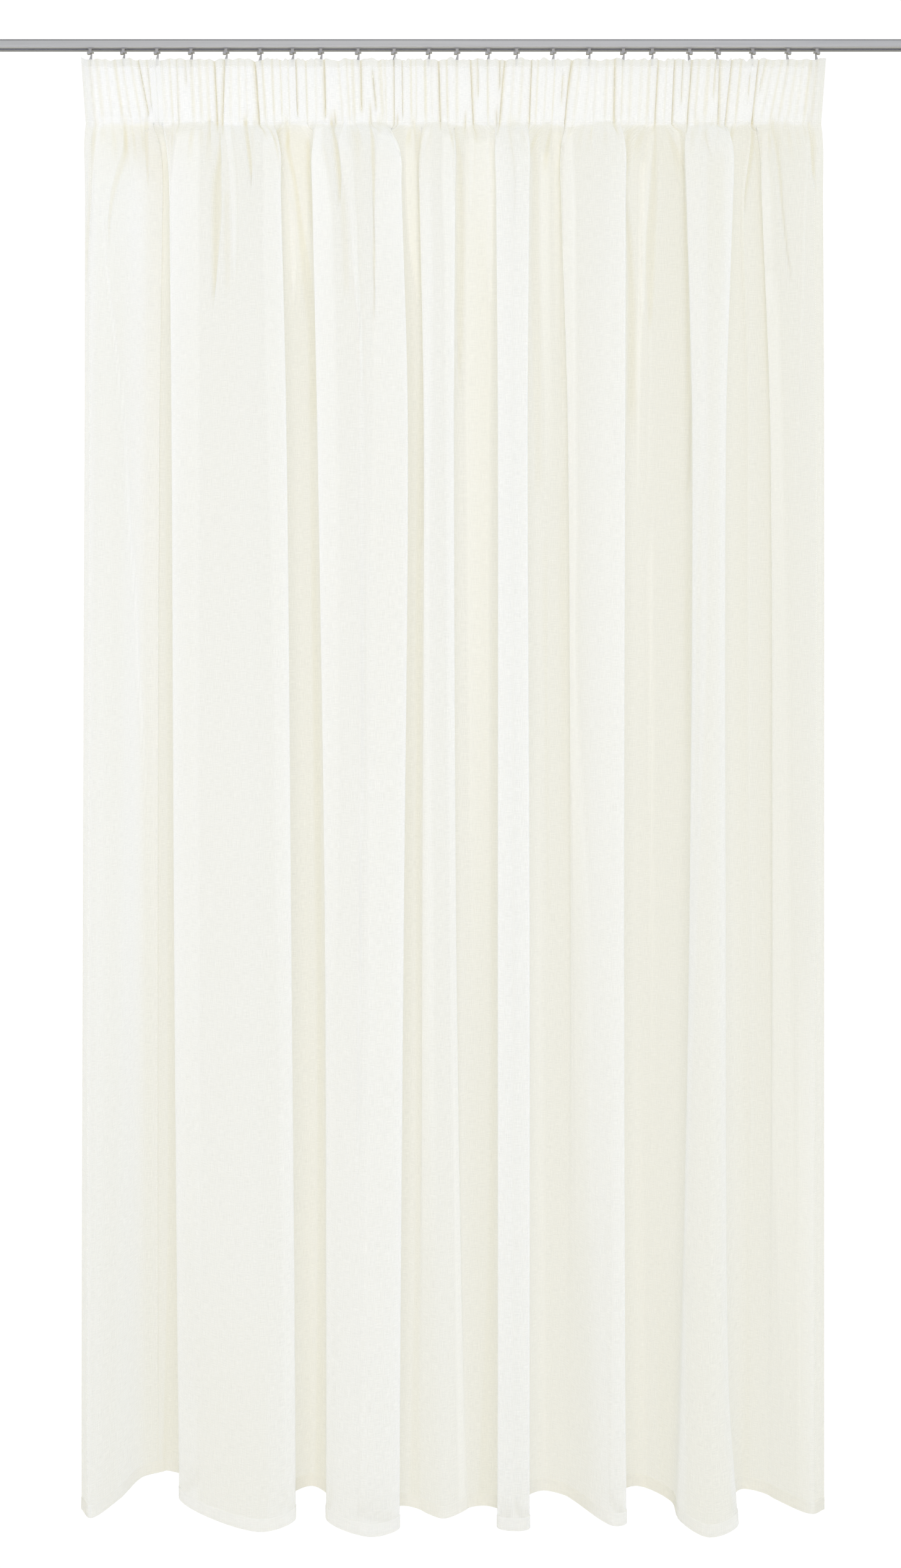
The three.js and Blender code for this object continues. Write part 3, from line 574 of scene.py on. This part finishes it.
# How strong one mark is at each place of a grid, once with soft edges and once with crisp ones. Its
# course is found on the cloth's threads, whose seen places at heights z are seen_x.
def mark_share(panel, course, runs, z, threads, seen_x):
    first, last = PANELS[panel]
    inside = (threads >= POINT_RUNS[first]) & (threads <= POINT_RUNS[last])
    own_runs = threads[inside]
    across, down, widths, *strengths = (np.array(column, float) for column in zip(*course))
    heights = TAPE_BOTTOM - z
    # A course that starts at the tape comes in slowly, from above the tape's lower edge
    lead_in = 26 if down[0] < 5 else 12
    fade = eased((heights - down[0] + lead_in) / lead_in) * eased((down[-1] - heights + 14) / 28)
    soft, crisp = np.zeros((2, len(z), len(runs)))
    for row in np.flatnonzero(fade > 0):
        at = through(down, across, heights[row])
        half = through(down, widths, heights[row]) / 2
        seen = np.maximum.accumulate(seen_x[row, inside]) + np.arange(len(own_runs)) * 1e-6
        low, high = np.interp([at - half, at + half], seen, own_runs)
        if strengths:
            strength = through(down, strengths[0], heights[row])
            low -= PAST_EDGE * (at - half < seen[0] + 2)
            high += PAST_EDGE * (at + half > seen[-1] - 2)
        else:
            strength = min(1, 0.35 + half / 5)
        # A mark that lies outside its panel at some height doesn't show there
        strength *= min(1, (high - low) / half) ** 2
        centre, reach = (low + high) / 2, max((high - low) / 2, 1.2)
        u = np.abs(runs - centre) / reach
        soft[row] = np.exp(-u**4) * fade[row] * strength
        crisp[row] = np.exp(-u ** np.clip(half / 1.3, 6, 20)) * fade[row] * strength
    return soft, crisp


# How far the marks take each place of a grid back, how much painted shade it gets from them, and
# how far its weave closes
def mark_steps(runs, z):
    below = (TAPE_BOTTOM - z)[:, None]
    threads = thread_runs(UPPER_COLUMNS)
    thread_x, thread_y = smooth_cloth(threads, z)
    seen_x = thread_x / (1 + thread_y / CAMERA_DISTANCE)

    def shares(panel, course):
        return mark_share(panel, course, runs, z, threads, seen_x)

    back, painted_shade_and_tint, raised = np.zeros((3, len(z), len(runs)))
    for panel, depth, course in MARKS:
        soft, crisp = shares(panel, course)
        on_tape = 1 - 0.8 * eased(-below / 20) if depth > 0 else 1
        back += MARK_DEPTH * depth * soft * on_tape * (0.45 + 0.55 * eased(below / 60))
        # A crease that goes back is painted with shade along its trough, the more the deeper it is
        if depth > 0:
            painted_shade_and_tint += crisp * on_tape * min(1, depth / 18)
        else:
            raised += 0.5 * crisp
    for panel, course in CLOSED:
        raised += shares(panel, course)[1]
    # Strips of painted shade beside the folds' edges
    for panel, course in PAINTED_SHADE_STRIPS:
        painted_shade_and_tint += PAINTED_SHADE_SHARE * shares(panel, course)[1]
    return back, painted_shade_and_tint, raised


# How much the turned hems close the weave and tint it, and how much of the painted shade they cover
HEM_CLOSED, HEM_TINT, HEM_COVERS, SIDE_HEM_TINT = 0.6, 0.12, 0.9, 0.22


# The middle of the cloth as a grid by height and run of x, y, z, how much painted shade and tint it
# gets, and how far its weave closes, both from 0 to 1. crease_depth scales the header's creases, and
# set_back moves the whole sheet back.
def cloth_grid(runs, z, crease_depth=1.0, set_back=0.0, frilled=False):
    x, y = smooth_cloth(runs, z)
    side_x, side_y = np.gradient(x, runs, axis=1), np.gradient(y, runs, axis=1)
    length = np.hypot(side_x, side_y) + 1e-9
    side_x, side_y = side_x / length, side_y / length
    back, side, painted_shade_and_tint = crease_steps(runs, z, crease_depth)
    mark_back, mark_hollow, raised = mark_steps(runs, z)
    back += mark_back
    painted_shade_and_tint += mark_hollow
    in_hem = (z <= HEM_TOP + 0.01)[:, None]
    raised += HEM_CLOSED * in_hem
    # The turned hem covers most of the painted shade and has a tint of its own
    painted_shade_and_tint += in_hem * (HEM_TINT - HEM_COVERS * painted_shade_and_tint)
    from_side = np.minimum(runs, FLAT_WIDTH - runs)[None, :]
    in_side_hem = eased((SIDE_HEM + 2 - from_side) / 4) * eased((TAPE_BOTTOM - z) / 200)[:, None]
    painted_shade_and_tint += SIDE_HEM_TINT * in_side_hem
    x = x - side_y * back + side_x * side
    y = y + side_x * back + side_y * side + set_back
    height = np.repeat(z[:, None], len(runs), axis=1)
    if frilled:
        height = height + frill_edge(runs)[None, :] * eased((z - TAPE_BOTTOM - 60) / 45)[:, None]
    return np.stack([x, y, height, np.clip(painted_shade_and_tint, 0, 1), np.clip(raised, 0, 1)], axis=-1)


# The frill's top edge rises and falls from pleat to pleat
def frill_edge(runs):
    return 1.6 * wander(runs, 74, 11) + 1.3 * wander(runs, 31, 12)


def row_heights(spans):
    heights = [np.linspace(top, foot, count, endpoint=False) for top, foot, count in spans]
    return np.concatenate(heights + [[spans[-1][1]]]).astype(float)


# Four corners for each cell of a grid
def grid_faces(rows, columns):
    at = np.arange(rows * columns).reshape(rows, columns)
    return np.stack([at[1:, :-1], at[1:, 1:], at[:-1, 1:], at[:-1, :-1]], axis=-1).reshape(-1, 4)


# Three triangles for each cell between a close row and the half as close row under it
def thinning_faces(close, wide):
    faces = []
    for j in range(len(wide) - 1):
        a, b, c = close[2 * j : 2 * j + 3]
        faces += [(a, wide[j], b), (b, wide[j], wide[j + 1]), (b, wide[j + 1], c)]
    return faces


def mesh_object(name, vertices, faces, material):
    mesh = bpy.data.meshes.new(name)
    mesh.from_pydata((np.asarray(vertices, float) * MM).tolist(), [], faces)
    mesh.polygons.foreach_set("use_smooth", np.full(len(mesh.polygons), True))
    mesh.materials.append(material)
    made = bpy.data.objects.new(name, mesh)
    bpy.context.collection.objects.link(made)
    return made


# The corners of closed tubes, from their middle lines as tubes by places by 3, and the faces
# between them. Each has four sides, which lie along and across the directions back.
def tubes(middles, back, radii):
    along = np.gradient(middles, axis=1)
    side = np.cross(along, back)
    side /= np.linalg.norm(side, axis=-1, keepdims=True) + 1e-12
    radii = np.asarray(radii, float)[None, :, None]
    rings = np.stack([middles + sign * way * radii for sign in (1, -1) for way in (side, back)], axis=2)
    count, places = middles.shape[:2]
    faces = [[3, 2, 1, 0], 4 * (places - 1) + np.arange(4)]
    for here in range(4 * (places - 1)):
        there = here + 1 if here % 4 < 3 else here - 3
        faces.append([here, there, there + 4, here + 4])
    starts = 4 * places * np.arange(count)[:, None, None]
    return rings.reshape(-1, 3), (starts + np.array(faces)).reshape(-1, 4)


# Unit directions out of the back of a grid
def outward(grid):
    normal = np.cross(*(np.gradient(grid[..., :3], axis=axis) for axis in (1, 0)))
    return normal / (np.linalg.norm(normal, axis=-1, keepdims=True) + 1e-12)


# Gathers pieces of cloth, tape or thread into one mesh. Each vertex has its point, what cloth_grid
# tells of it, and its place on the flat cloth.
class Gathered:
    def __init__(self):
        self.vertices, self.faces, self.count = [], [], 0

    def add(self, vertices, faces):
        self.vertices.append(vertices)
        self.faces += (np.asarray(faces) + self.count).tolist()
        self.count += len(vertices)

    # Adds a grid that was made for these runs and heights, and gives its vertices' numbers
    def add_grid(self, runs, z, grid):
        numbers = self.count + np.arange(len(z) * len(runs)).reshape(len(z), len(runs))
        flat = np.stack(np.meshgrid(runs, z - HEM_LINE), axis=-1)
        self.add(np.concatenate([grid, flat], axis=-1).reshape(-1, 7), grid_faces(*numbers.shape))
        return numbers

    def finished(self, name, material, replaced=None):
        table = np.concatenate(self.vertices)
        made = mesh_object(name, table[:, :3], self.faces, material)
        corners = np.empty(len(made.data.loops), dtype=np.int64)
        made.data.loops.foreach_get("vertex_index", corners)
        places = (table[:, 5:] * MM)[corners].reshape(-1)
        made.data.uv_layers.new(name="flat").data.foreach_set("uv", places.astype(np.float32))
        # The painted shade and tint and the weave's closing go to the material as attributes
        for column, key in ((3, "painted_shade_and_tint"), (4, "raised")):
            layer = made.data.attributes.new(key, "FLOAT", "POINT")
            layer.data.foreach_set("value", table[:, column].astype(np.float32))
        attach(made, "root")
        if replaced:
            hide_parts(replaced)
        return made


# Short ways to add nodes to a material or a world, which starts empty
class Nodes:
    def __init__(self, owner):
        owner.use_nodes = True
        self.owner, self.tree = owner, owner.node_tree
        self.tree.nodes.clear()

    # Adds a node with its settings and a value or a link for each named input, and gives its outputs
    def add(self, kind, inputs=None, **settings):
        one = self.tree.nodes.new(kind)
        for key, value in settings.items():
            setattr(one, key, value)
        for key, source in (inputs or {}).items():
            if isinstance(source, (int, float, tuple)):
                one.inputs[key].default_value = source
            else:
                self.tree.links.new(source, one.inputs[key])
        return one.outputs

    def maths(self, operation, a, b):
        return self.add("ShaderNodeMath", {0: a, 1: b}, operation=operation)[0]

    def ranged(self, value, low, high, to_low, to_high):
        inputs = {0: value, 1: low, 2: high, 3: to_low, 4: to_high}
        return self.add("ShaderNodeMapRange", inputs)[0]

    def blend(self, share, first, second, way="MIX"):
        inputs = {0: share, 6: first, 7: second}
        return self.add("ShaderNodeMix", inputs, data_type="RGBA", blend_type=way)[2]

    def shader_mix(self, share, first, second):
        return self.add("ShaderNodeMixShader", {0: share, 1: first, 2: second})[0]

    # Noise drawn out to the given sizes in mm along the two or three directions of place
    def streaks(self, place, sizes, detail):
        counts = tuple(1 / (size * MM) for size in sizes) + (1,) * (3 - len(sizes))
        scaled = self.add("ShaderNodeVectorMath", {0: place, 1: counts}, operation="MULTIPLY")[0]
        inputs = {"Scale": 1, "Detail": detail, "Roughness": 0.6, "Vector": scaled}
        return self.add("ShaderNodeTexNoise", inputs, noise_dimensions=f"{len(sizes)}D")["Fac"]

    def bump(self, height, strength, distance):
        inputs = {"Strength": strength, "Distance": distance, "Height": height}
        return self.add("ShaderNodeBump", inputs)[0]

    def output(self, shader):
        self.add("ShaderNodeOutputMaterial", {"Surface": shader})

    # A shiny surface whose roughness and relief follow a grain
    def shiny_output(self, base, grain, smoothest, roughest, relief, metallic):
        shine = self.add("ShaderNodeBsdfPrincipled", {
            "Base Color": base, "Metallic": metallic, "Normal": self.bump(grain, *relief),
            "Roughness": self.ranged(grain, 0.3, 0.7, smoothest, roughest),
        })
        self.output(shine[0])


# The woven cloth: how much of it is open, how it scatters light, its threads, the yellower colour
# painted on it as shade in its creases and beside its folds and as a tint on its hems, and how it
# closes up where it lies double
def cloth_material(name, colour, painted_shade_colour, open_share, shine_through, slub):
    nodes = Nodes(bpy.data.materials.new(name))
    flat = nodes.add("ShaderNodeUVMap", uv_map="flat")["UV"]
    painted_shade_and_tint, raised = (
        nodes.add("ShaderNodeAttribute", attribute_name=value)["Fac"] for value in ("painted_shade_and_tint", "raised")
    )
    warp = nodes.streaks(flat, (0.8, 20), 2.0)
    weft = nodes.streaks(flat, (14, 0.8), 2.0)
    threads = nodes.maths("SUBTRACT", nodes.maths("ADD", warp, weft), 1.0)
    opening = nodes.maths("SUBTRACT", open_share, nodes.maths("MULTIPLY", threads, 0.5 * slub))
    closing = nodes.maths("MULTIPLY", raised, 0.9 * open_share)
    openness = nodes.maths("MAXIMUM", nodes.maths("SUBTRACT", opening, closing), 0.0)
    shade = nodes.ranged(threads, -0.5, 0.5, 1 - 0.03 * slub, 1.0)
    # Painted shade and tint: the colour goes over to the yellower shade colour by the attribute's value
    base = nodes.blend(painted_shade_and_tint, (*colour, 1), (*painted_shade_colour, 1))
    tint = nodes.blend(1.0, base, shade, "MULTIPLY")
    look = {"Color": tint, "Normal": nodes.bump(threads, 0.25 * slub, 0.0004)}
    front = nodes.add("ShaderNodeBsdfDiffuse", {"Roughness": 1.0, **look})[0]
    through_cloth = nodes.add("ShaderNodeBsdfTranslucent", look)[0]
    woven = nodes.shader_mix(shine_through, front, through_cloth)
    clear = nodes.add("ShaderNodeBsdfTransparent")[0]
    nodes.output(nodes.shader_mix(openness, woven, clear))
    return nodes.owner


# Brushed and anodised metal with streaks along the rail. Shade is painted darker along the rail's top
# edge and towards the back of its underside, and all but its front face is painted lighter and cooler.
def metal_material(name, colour, roughness):
    nodes = Nodes(bpy.data.materials.new(name))
    place = nodes.add("ShaderNodeTexCoord")["Object"]
    fine = nodes.streaks(place, (90, 0.8, 0.8), 3.0)
    broad = nodes.streaks(place, (400, 3, 3), 2.0)
    worn = nodes.ranged(nodes.maths("ADD", fine, broad), 0.7, 1.3, 0.9, 1.06)
    brushed = nodes.blend(1.0, (*colour, 1), worn, "MULTIPLY")
    _, back, up = nodes.add("ShaderNodeSeparateXYZ", {0: place})
    # Painted light: all but the front face is painted lighter and cooler against the warm light from below
    painted_cool_share = nodes.ranged(back, -11.4 * MM, -10.9 * MM, 0.0, 1.0)
    painted_cool = nodes.blend(painted_cool_share, brushed, nodes.blend(1.0, brushed, RAIL_PAINTED_COOL_LIGHT, "MULTIPLY"))
    # Painted shade: darker along the rail's top edge and towards the back of its underside
    edge = nodes.ranged(up, -2.8 * MM, -1.0 * MM, 1.0, 0.4)
    depth = nodes.ranged(back, -1.0 * MM, 6.0 * MM, 1.0, 0.5)
    with_painted_shade = nodes.blend(1.0, painted_cool, nodes.maths("MULTIPLY", edge, depth), "MULTIPLY")
    nodes.shiny_output(with_painted_shade, fine, roughness - 0.06, roughness + 0.08, (0.15, 0.0001), 0.55)
    return nodes.owner


# Moulded plastic with a faint grain and small changes of colour
def plastic_material(name, colour, roughness):
    nodes = Nodes(bpy.data.materials.new(name))
    place = nodes.add("ShaderNodeTexCoord")["Object"]
    grain = nodes.streaks(place, (0.5, 0.5, 0.5), 2.0)
    shade = nodes.ranged(nodes.streaks(place, (25, 25, 25), 2.0), 0.3, 0.7, 0.9, 1.08)
    base = nodes.blend(1.0, (*colour, 1), shade, "MULTIPLY")
    nodes.shiny_output(base, grain, roughness - 0.05, roughness + 0.07, (0.2, 0.00005), 0.0)
    return nodes.owner


# Each cloth's own colour and the yellower colour of the shade painted on it
CLOTH = cloth_material("cloth", (0.93, 0.92, 0.88), (0.885, 0.857, 0.74), 0.4, 0.45, slub=0.32)
TAPE = cloth_material("tape", (0.935, 0.922, 0.882), (0.885, 0.85, 0.715), 0.06, 0.25, slub=0.3)
THREAD = cloth_material("thread", (0.95, 0.94, 0.9), (0.95, 0.94, 0.9), 0.0, 0.3, slub=0.2)
# How much lighter and cooler the rail's sides and underside are painted
RAIL_PAINTED_COOL_LIGHT = (1.32, 1.38, 1.66, 1)
ALUMINIUM = metal_material("aluminium", (0.415, 0.394, 0.351), 0.52)
PLASTIC = plastic_material("plastic", (0.32, 0.305, 0.275), 0.42)


def make_cloth():
    cloth = Gathered()

    # Adds a layer that lies behind the cloth's middle by gap, but for an edge where it turns under
    def add_layer(runs, z, gap=0, edge=None):
        grid = cloth_grid(runs, z, frilled=True)
        if gap:
            lift = np.full((len(z), len(runs), 1), gap)
            lift[edge] = 0
            grid[..., :3] += outward(grid) * lift
        return cloth.add_grid(runs, z, grid)

    close = thread_runs(UPPER_COLUMNS)
    wide = close[::2]
    upper_z, lower_z = row_heights(UPPER_ROWS), row_heights(LOWER_ROWS)
    upper = add_layer(close, upper_z)
    lower = add_layer(wide, lower_z[1:])
    cloth.faces += thinning_faces(upper[-1].tolist(), lower[0].tolist())
    add_layer(wide, lower_z[lower_z <= HEM_TOP + 0.01][::-1], HEM_GAP, np.s_[0, :])
    add_layer(close, upper_z[:4], FRILL_GAP, np.s_[0, :])
    all_z = np.concatenate([upper_z, lower_z[1:]])
    from_edge = np.array([0, 1.5, 8, 15, SIDE_HEM])
    add_layer(from_edge, all_z, SIDE_HEM_GAP, np.s_[:, 0])
    add_layer(FLAT_WIDTH - from_edge[::-1], all_z, SIDE_HEM_GAP, np.s_[:, -1])
    sheet = cloth.finished("curtain_sheet", CLOTH, "curtain_cloth")


# The tape right behind the cloth at runs and heights, as cloth_grid gives the cloth. Its lower edge
# hangs in a slow ripple.
def tape_grid(runs, z, set_back):
    levels = row_heights([(TAPE_TOP, TAPE_BOTTOM, 9), (TAPE_BOTTOM, TAPE_BOTTOM - 8, 4)])
    grid = cloth_grid(runs, levels, crease_depth=0.85, set_back=set_back)
    ripple = 2.6 * wander(runs, 190, 21) + 1.3 * wander(runs, 60, 22) + 1.3 * wander(runs, 27, 23) - 1.2
    share = np.clip((TAPE_TOP - z) / (TAPE_TOP - TAPE_BOTTOM), 0, 1)
    height = np.maximum(z[:, None] + ripple[None, :] * share[:, None], levels[-1])
    columns = range(len(runs))
    moved = np.stack([
        np.stack([np.interp(-height[:, k], -levels, values[:, k]) for k in columns], axis=1)
        for values in np.moveaxis(grid, -1, 0)
    ], axis=-1)
    moved[..., 2] = height
    return moved


def make_tape():
    runs = np.linspace(TAPE_INSET, FLAT_WIDTH - TAPE_INSET, TAPE_COLUMNS)
    z = row_heights([(TAPE_TOP, TAPE_BOTTOM, 10)])
    tape = Gathered()
    tape.add_grid(runs, z, tape_grid(runs, z, TAPE_BACK))
    tape.finished("header_tape_band", TAPE, "header_tape")


# Three places for each stitch of a seam, along it from first to last
def stitch_places(first, last):
    starts = np.arange(first, last - STITCH_PITCH, STITCH_PITCH)
    return (starts[:, None] + STITCH_LENGTH * np.array([0, 0.5, 1])).reshape(-1)


# Where a seam runs on the cloth: one line of places, and the directions out of the cloth's back.
# Either the runs or the heights z are one value.
def seam(runs, z, lift):
    beside = np.array([-0.5, 0, 0.5])
    across = len(z) == 1
    grid = cloth_grid(*((runs, z - beside) if across else (runs + beside, z)), frilled=True)
    back = outward(grid)
    middle = np.s_[1] if across else np.s_[:, 1]
    return (grid[..., :3] + back * lift)[middle], back[middle]


# A mesh of threads that goes with the cloth or the tape, joined from pairs of corners and faces
def make_trim(name, pieces):
    trim = Gathered()
    for corners, faces in pieces:
        trim.add(np.column_stack([corners, np.zeros((len(corners), 2)), corners[:, ::2]]), faces)
    trim.finished(name, THREAD)


# The seams: along the tape's two edges, along the hem and down the side hems, each seen from the
# front and from the back
def make_stitching(tape_inset=3, hem_inset=2):
    across = stitch_places(4, FLAT_WIDTH - 4)
    down = -stitch_places(8 - TAPE_BOTTOM, -HEM_TOP - 2)
    side = SIDE_HEM - hem_inset
    seams = [
        (across, [TAPE_TOP - tape_inset], 1.5), (across, [TAPE_BOTTOM + tape_inset], 1.5),
        (across, [HEM_TOP - hem_inset], 0.9), ([side], down, 1.4), ([FLAT_WIDTH - side], down, 1.4),
    ]
    pieces = []
    for runs, z, thickness in seams:
        for lift in (-0.1, thickness):
            points, back = seam(np.asarray(runs, float), np.asarray(z, float), lift)
            pieces.append(tubes(points.reshape(-1, 3, 3), back.reshape(-1, 3, 3), STITCH_RADII))
    make_trim("stitching", pieces)


# The woven cords and the pockets for the hooks on the back of the tape
def make_tape_back(cord_inset=3, pocket_inset=12):
    pieces = []
    runs = np.linspace(TAPE_INSET + cord_inset, FLAT_WIDTH - TAPE_INSET - cord_inset, TAPE_COLUMNS)
    for height in TAPE_CORDS:
        grid = tape_grid(runs, height + np.array([0.5, 0, -0.5]), CORD_BACK)
        pieces.append(tubes(grid[1:2, :, :3], outward(grid)[1:2], np.full(len(runs), CORD_RADIUS)))
    starts = np.arange(TAPE_INSET + pocket_inset, FLAT_WIDTH - TAPE_INSET - pocket_inset, POCKET_PITCH)
    columns = (starts[:, None] + np.array([0, 0.5, 1]) * POCKET_WIDTH).reshape(-1)
    arch = np.array([0.1, 1.4, 1.9, 1.4, 0.1])
    for top in TAPE_POCKETS:
        grid = tape_grid(columns, np.linspace(top, top - POCKET_HEIGHT, len(arch)), POCKET_BACK)
        grid[..., 1] += arch[:, None]
        for k in range(len(starts)):
            pieces.append((grid[:, 3 * k : 3 * k + 3, :3].reshape(-1, 3), grid_faces(len(arch), 3)))
    make_trim("tape_cords_and_pockets", pieces)


# A copy of a carried-over node with its edges rounded off, in its place
def make_rounded(name, node, look, radius):
    mesh = node.data.copy()
    shape = bmesh.new()
    shape.from_mesh(mesh)
    bmesh.ops.remove_doubles(shape, verts=shape.verts, dist=0.005 * MM)
    flat_angle, sharp_angle = math.radians(3), math.radians(35)
    bmesh.ops.dissolve_limit(shape, angle_limit=flat_angle, verts=shape.verts, edges=shape.edges)
    sharp = [edge for edge in shape.edges if edge.is_manifold and edge.calc_face_angle() > sharp_angle]
    bmesh.ops.bevel(
        shape, geom=sharp, offset=radius * MM, segments=2, profile=0.5, affect="EDGES", clamp_overlap=True,
    )
    bmesh.ops.triangulate(shape, faces=shape.faces)
    shape.to_mesh(mesh)
    shape.free()
    mesh.polygons.foreach_set("use_smooth", np.full(len(mesh.polygons), False))
    mesh.materials.clear()
    mesh.materials.append(look)
    rounded = bpy.data.objects.new(f"{name}_rounded", mesh)
    rounded.matrix_world = node.matrix_world
    bpy.context.collection.objects.link(rounded)
    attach(rounded, "root")
    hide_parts(name)


# Paints the carried-over nodes, and rounds the edges of all but the two sheets
def make_fittings():
    for name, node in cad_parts.items():
        metal = name.startswith(("rail", "end_cap"))
        look = ALUMINIUM if metal else PLASTIC
        node.data.materials.clear()
        node.data.materials.append(look)
        if name not in ("curtain_cloth", "header_tape"):
            make_rounded(name, node, look, 0.2 if metal else 0.3)


WHITE = (1.05, 1.05, 1.05)
SEEN_THROUGH = (0.776, 0.77, 0.692)
ROOM_LEFT = (0.516, 0.562, 0.538)
ROOM_RIGHT = (0.928, 1.066, 1.403)
ROOM_BACK = (0.767, 0.723, 0.464)


# Shows what the camera sees directly as white and what it sees through the cloth as dimmer, and
# leaves the rest of the light to room
def seen_by_camera(nodes, emitter, room):
    path = nodes.add("ShaderNodeLightPath")
    dimmed = nodes.maths("GREATER_THAN", path["Transparent Depth"], 0.5)
    seen = nodes.shader_mix(dimmed, emitter(WHITE), emitter(SEEN_THROUGH))
    return nodes.shader_mix(path["Is Camera Ray"], room, seen)


def make_world():
    world = bpy.data.worlds.new("studio")
    bpy.context.scene.world = world
    nodes = Nodes(world)

    def backdrop(colour):
        return nodes.add("ShaderNodeBackground", {"Color": (*colour, 1)})[0]

    # The left and right of the room that the curtain faces and the room behind it differ a little
    place = nodes.add("ShaderNodeTexCoord")["Generated"]
    split = nodes.add("ShaderNodeSeparateXYZ", {0: place})

    def turned(axis, reach):
        inputs = {"Value": split[axis], "From Min": -reach, "From Max": reach}
        return nodes.add("ShaderNodeMapRange", inputs, interpolation_type="SMOOTHSTEP")[0]

    faced = nodes.shader_mix(turned("X", 0.7), backdrop(ROOM_LEFT), backdrop(ROOM_RIGHT))
    room = nodes.shader_mix(turned("Y", 0.35), faced, backdrop(ROOM_BACK))
    nodes.add("ShaderNodeOutputWorld", {"Surface": seen_by_camera(nodes, backdrop, room)})


# A large pale floor, as white to the camera as the room behind it
def make_floor(reach=6000):
    nodes = Nodes(bpy.data.materials.new("floor"))

    def glow(colour):
        return nodes.add("ShaderNodeEmission", {"Color": (*colour, 1)})[0]

    matt = nodes.add("ShaderNodeBsdfDiffuse", {"Color": (0.8, 0.78, 0.7, 1)})
    nodes.output(seen_by_camera(nodes, glow, matt[0]))
    corners = [(-reach, -reach), (reach, -reach), (reach, reach), (-reach, reach)]
    vertices = [(x, y, FLOOR) for x, y in corners]
    mesh_object("floor", vertices, [(0, 1, 2, 3)], nodes.owner)


LIGHTS = [
    # name, across, out, height, width, depth, watts, colour
    ("front", 0, -4000, -700, 2000, 2000, 88, (0.9, 0.88, 0.997)),
    ("side_left", -2600, -1000, -700, 800, 1600, 21.5, (0.52, 0.585, 1.0)),
]


def make_lights():
    for name, x, y, z, width, depth, watts, colour in LIGHTS:
        data = bpy.data.lights.new(name, "AREA")
        data.shape = "RECTANGLE"
        data.size = width * MM
        data.size_y = depth * MM
        data.energy = watts
        data.color = colour
        light = bpy.data.objects.new(name, data)
        light.location = (x * MM, y * MM, z * MM)
        aim = np.array([0, 0, -1000]) - np.array([x, y, z])
        yaw = math.atan2(aim[0], aim[1])
        pitch = math.atan2(aim[2], math.hypot(aim[0], aim[1]))
        light.rotation_euler = (math.pi / 2 + pitch, 0, -yaw)
        bpy.context.collection.objects.link(light)


def make_camera():
    data = bpy.data.cameras.new("camera")
    half = FRAME_HEIGHT / 2 * MM_PER_PIXEL
    data.sensor_fit = "AUTO"
    data.sensor_width = 36
    data.lens = data.sensor_width / 2 * CAMERA_DISTANCE / half
    data.shift_y = (HORIZON_ROW - FRAME_HEIGHT / 2) / FRAME_HEIGHT
    camera = bpy.data.objects.new("camera", data)
    camera.location = (0, -CAMERA_DISTANCE * MM, EYE_LEVEL * MM)
    camera.rotation_euler = (math.pi / 2, 0, 0)
    bpy.context.collection.objects.link(camera)
    scene = bpy.context.scene
    scene.camera = camera
    scene.view_settings.view_transform = "Standard"
    # Light passes through many layers of cloth and scatters between its folds
    scene.cycles.max_bounces = 16
    scene.cycles.diffuse_bounces = 10
    scene.cycles.transparent_max_bounces = 24


make_camera()
make_world()
make_lights()
make_floor()
make_tape()
make_tape_back()
make_cloth()
make_stitching()
make_fittings()
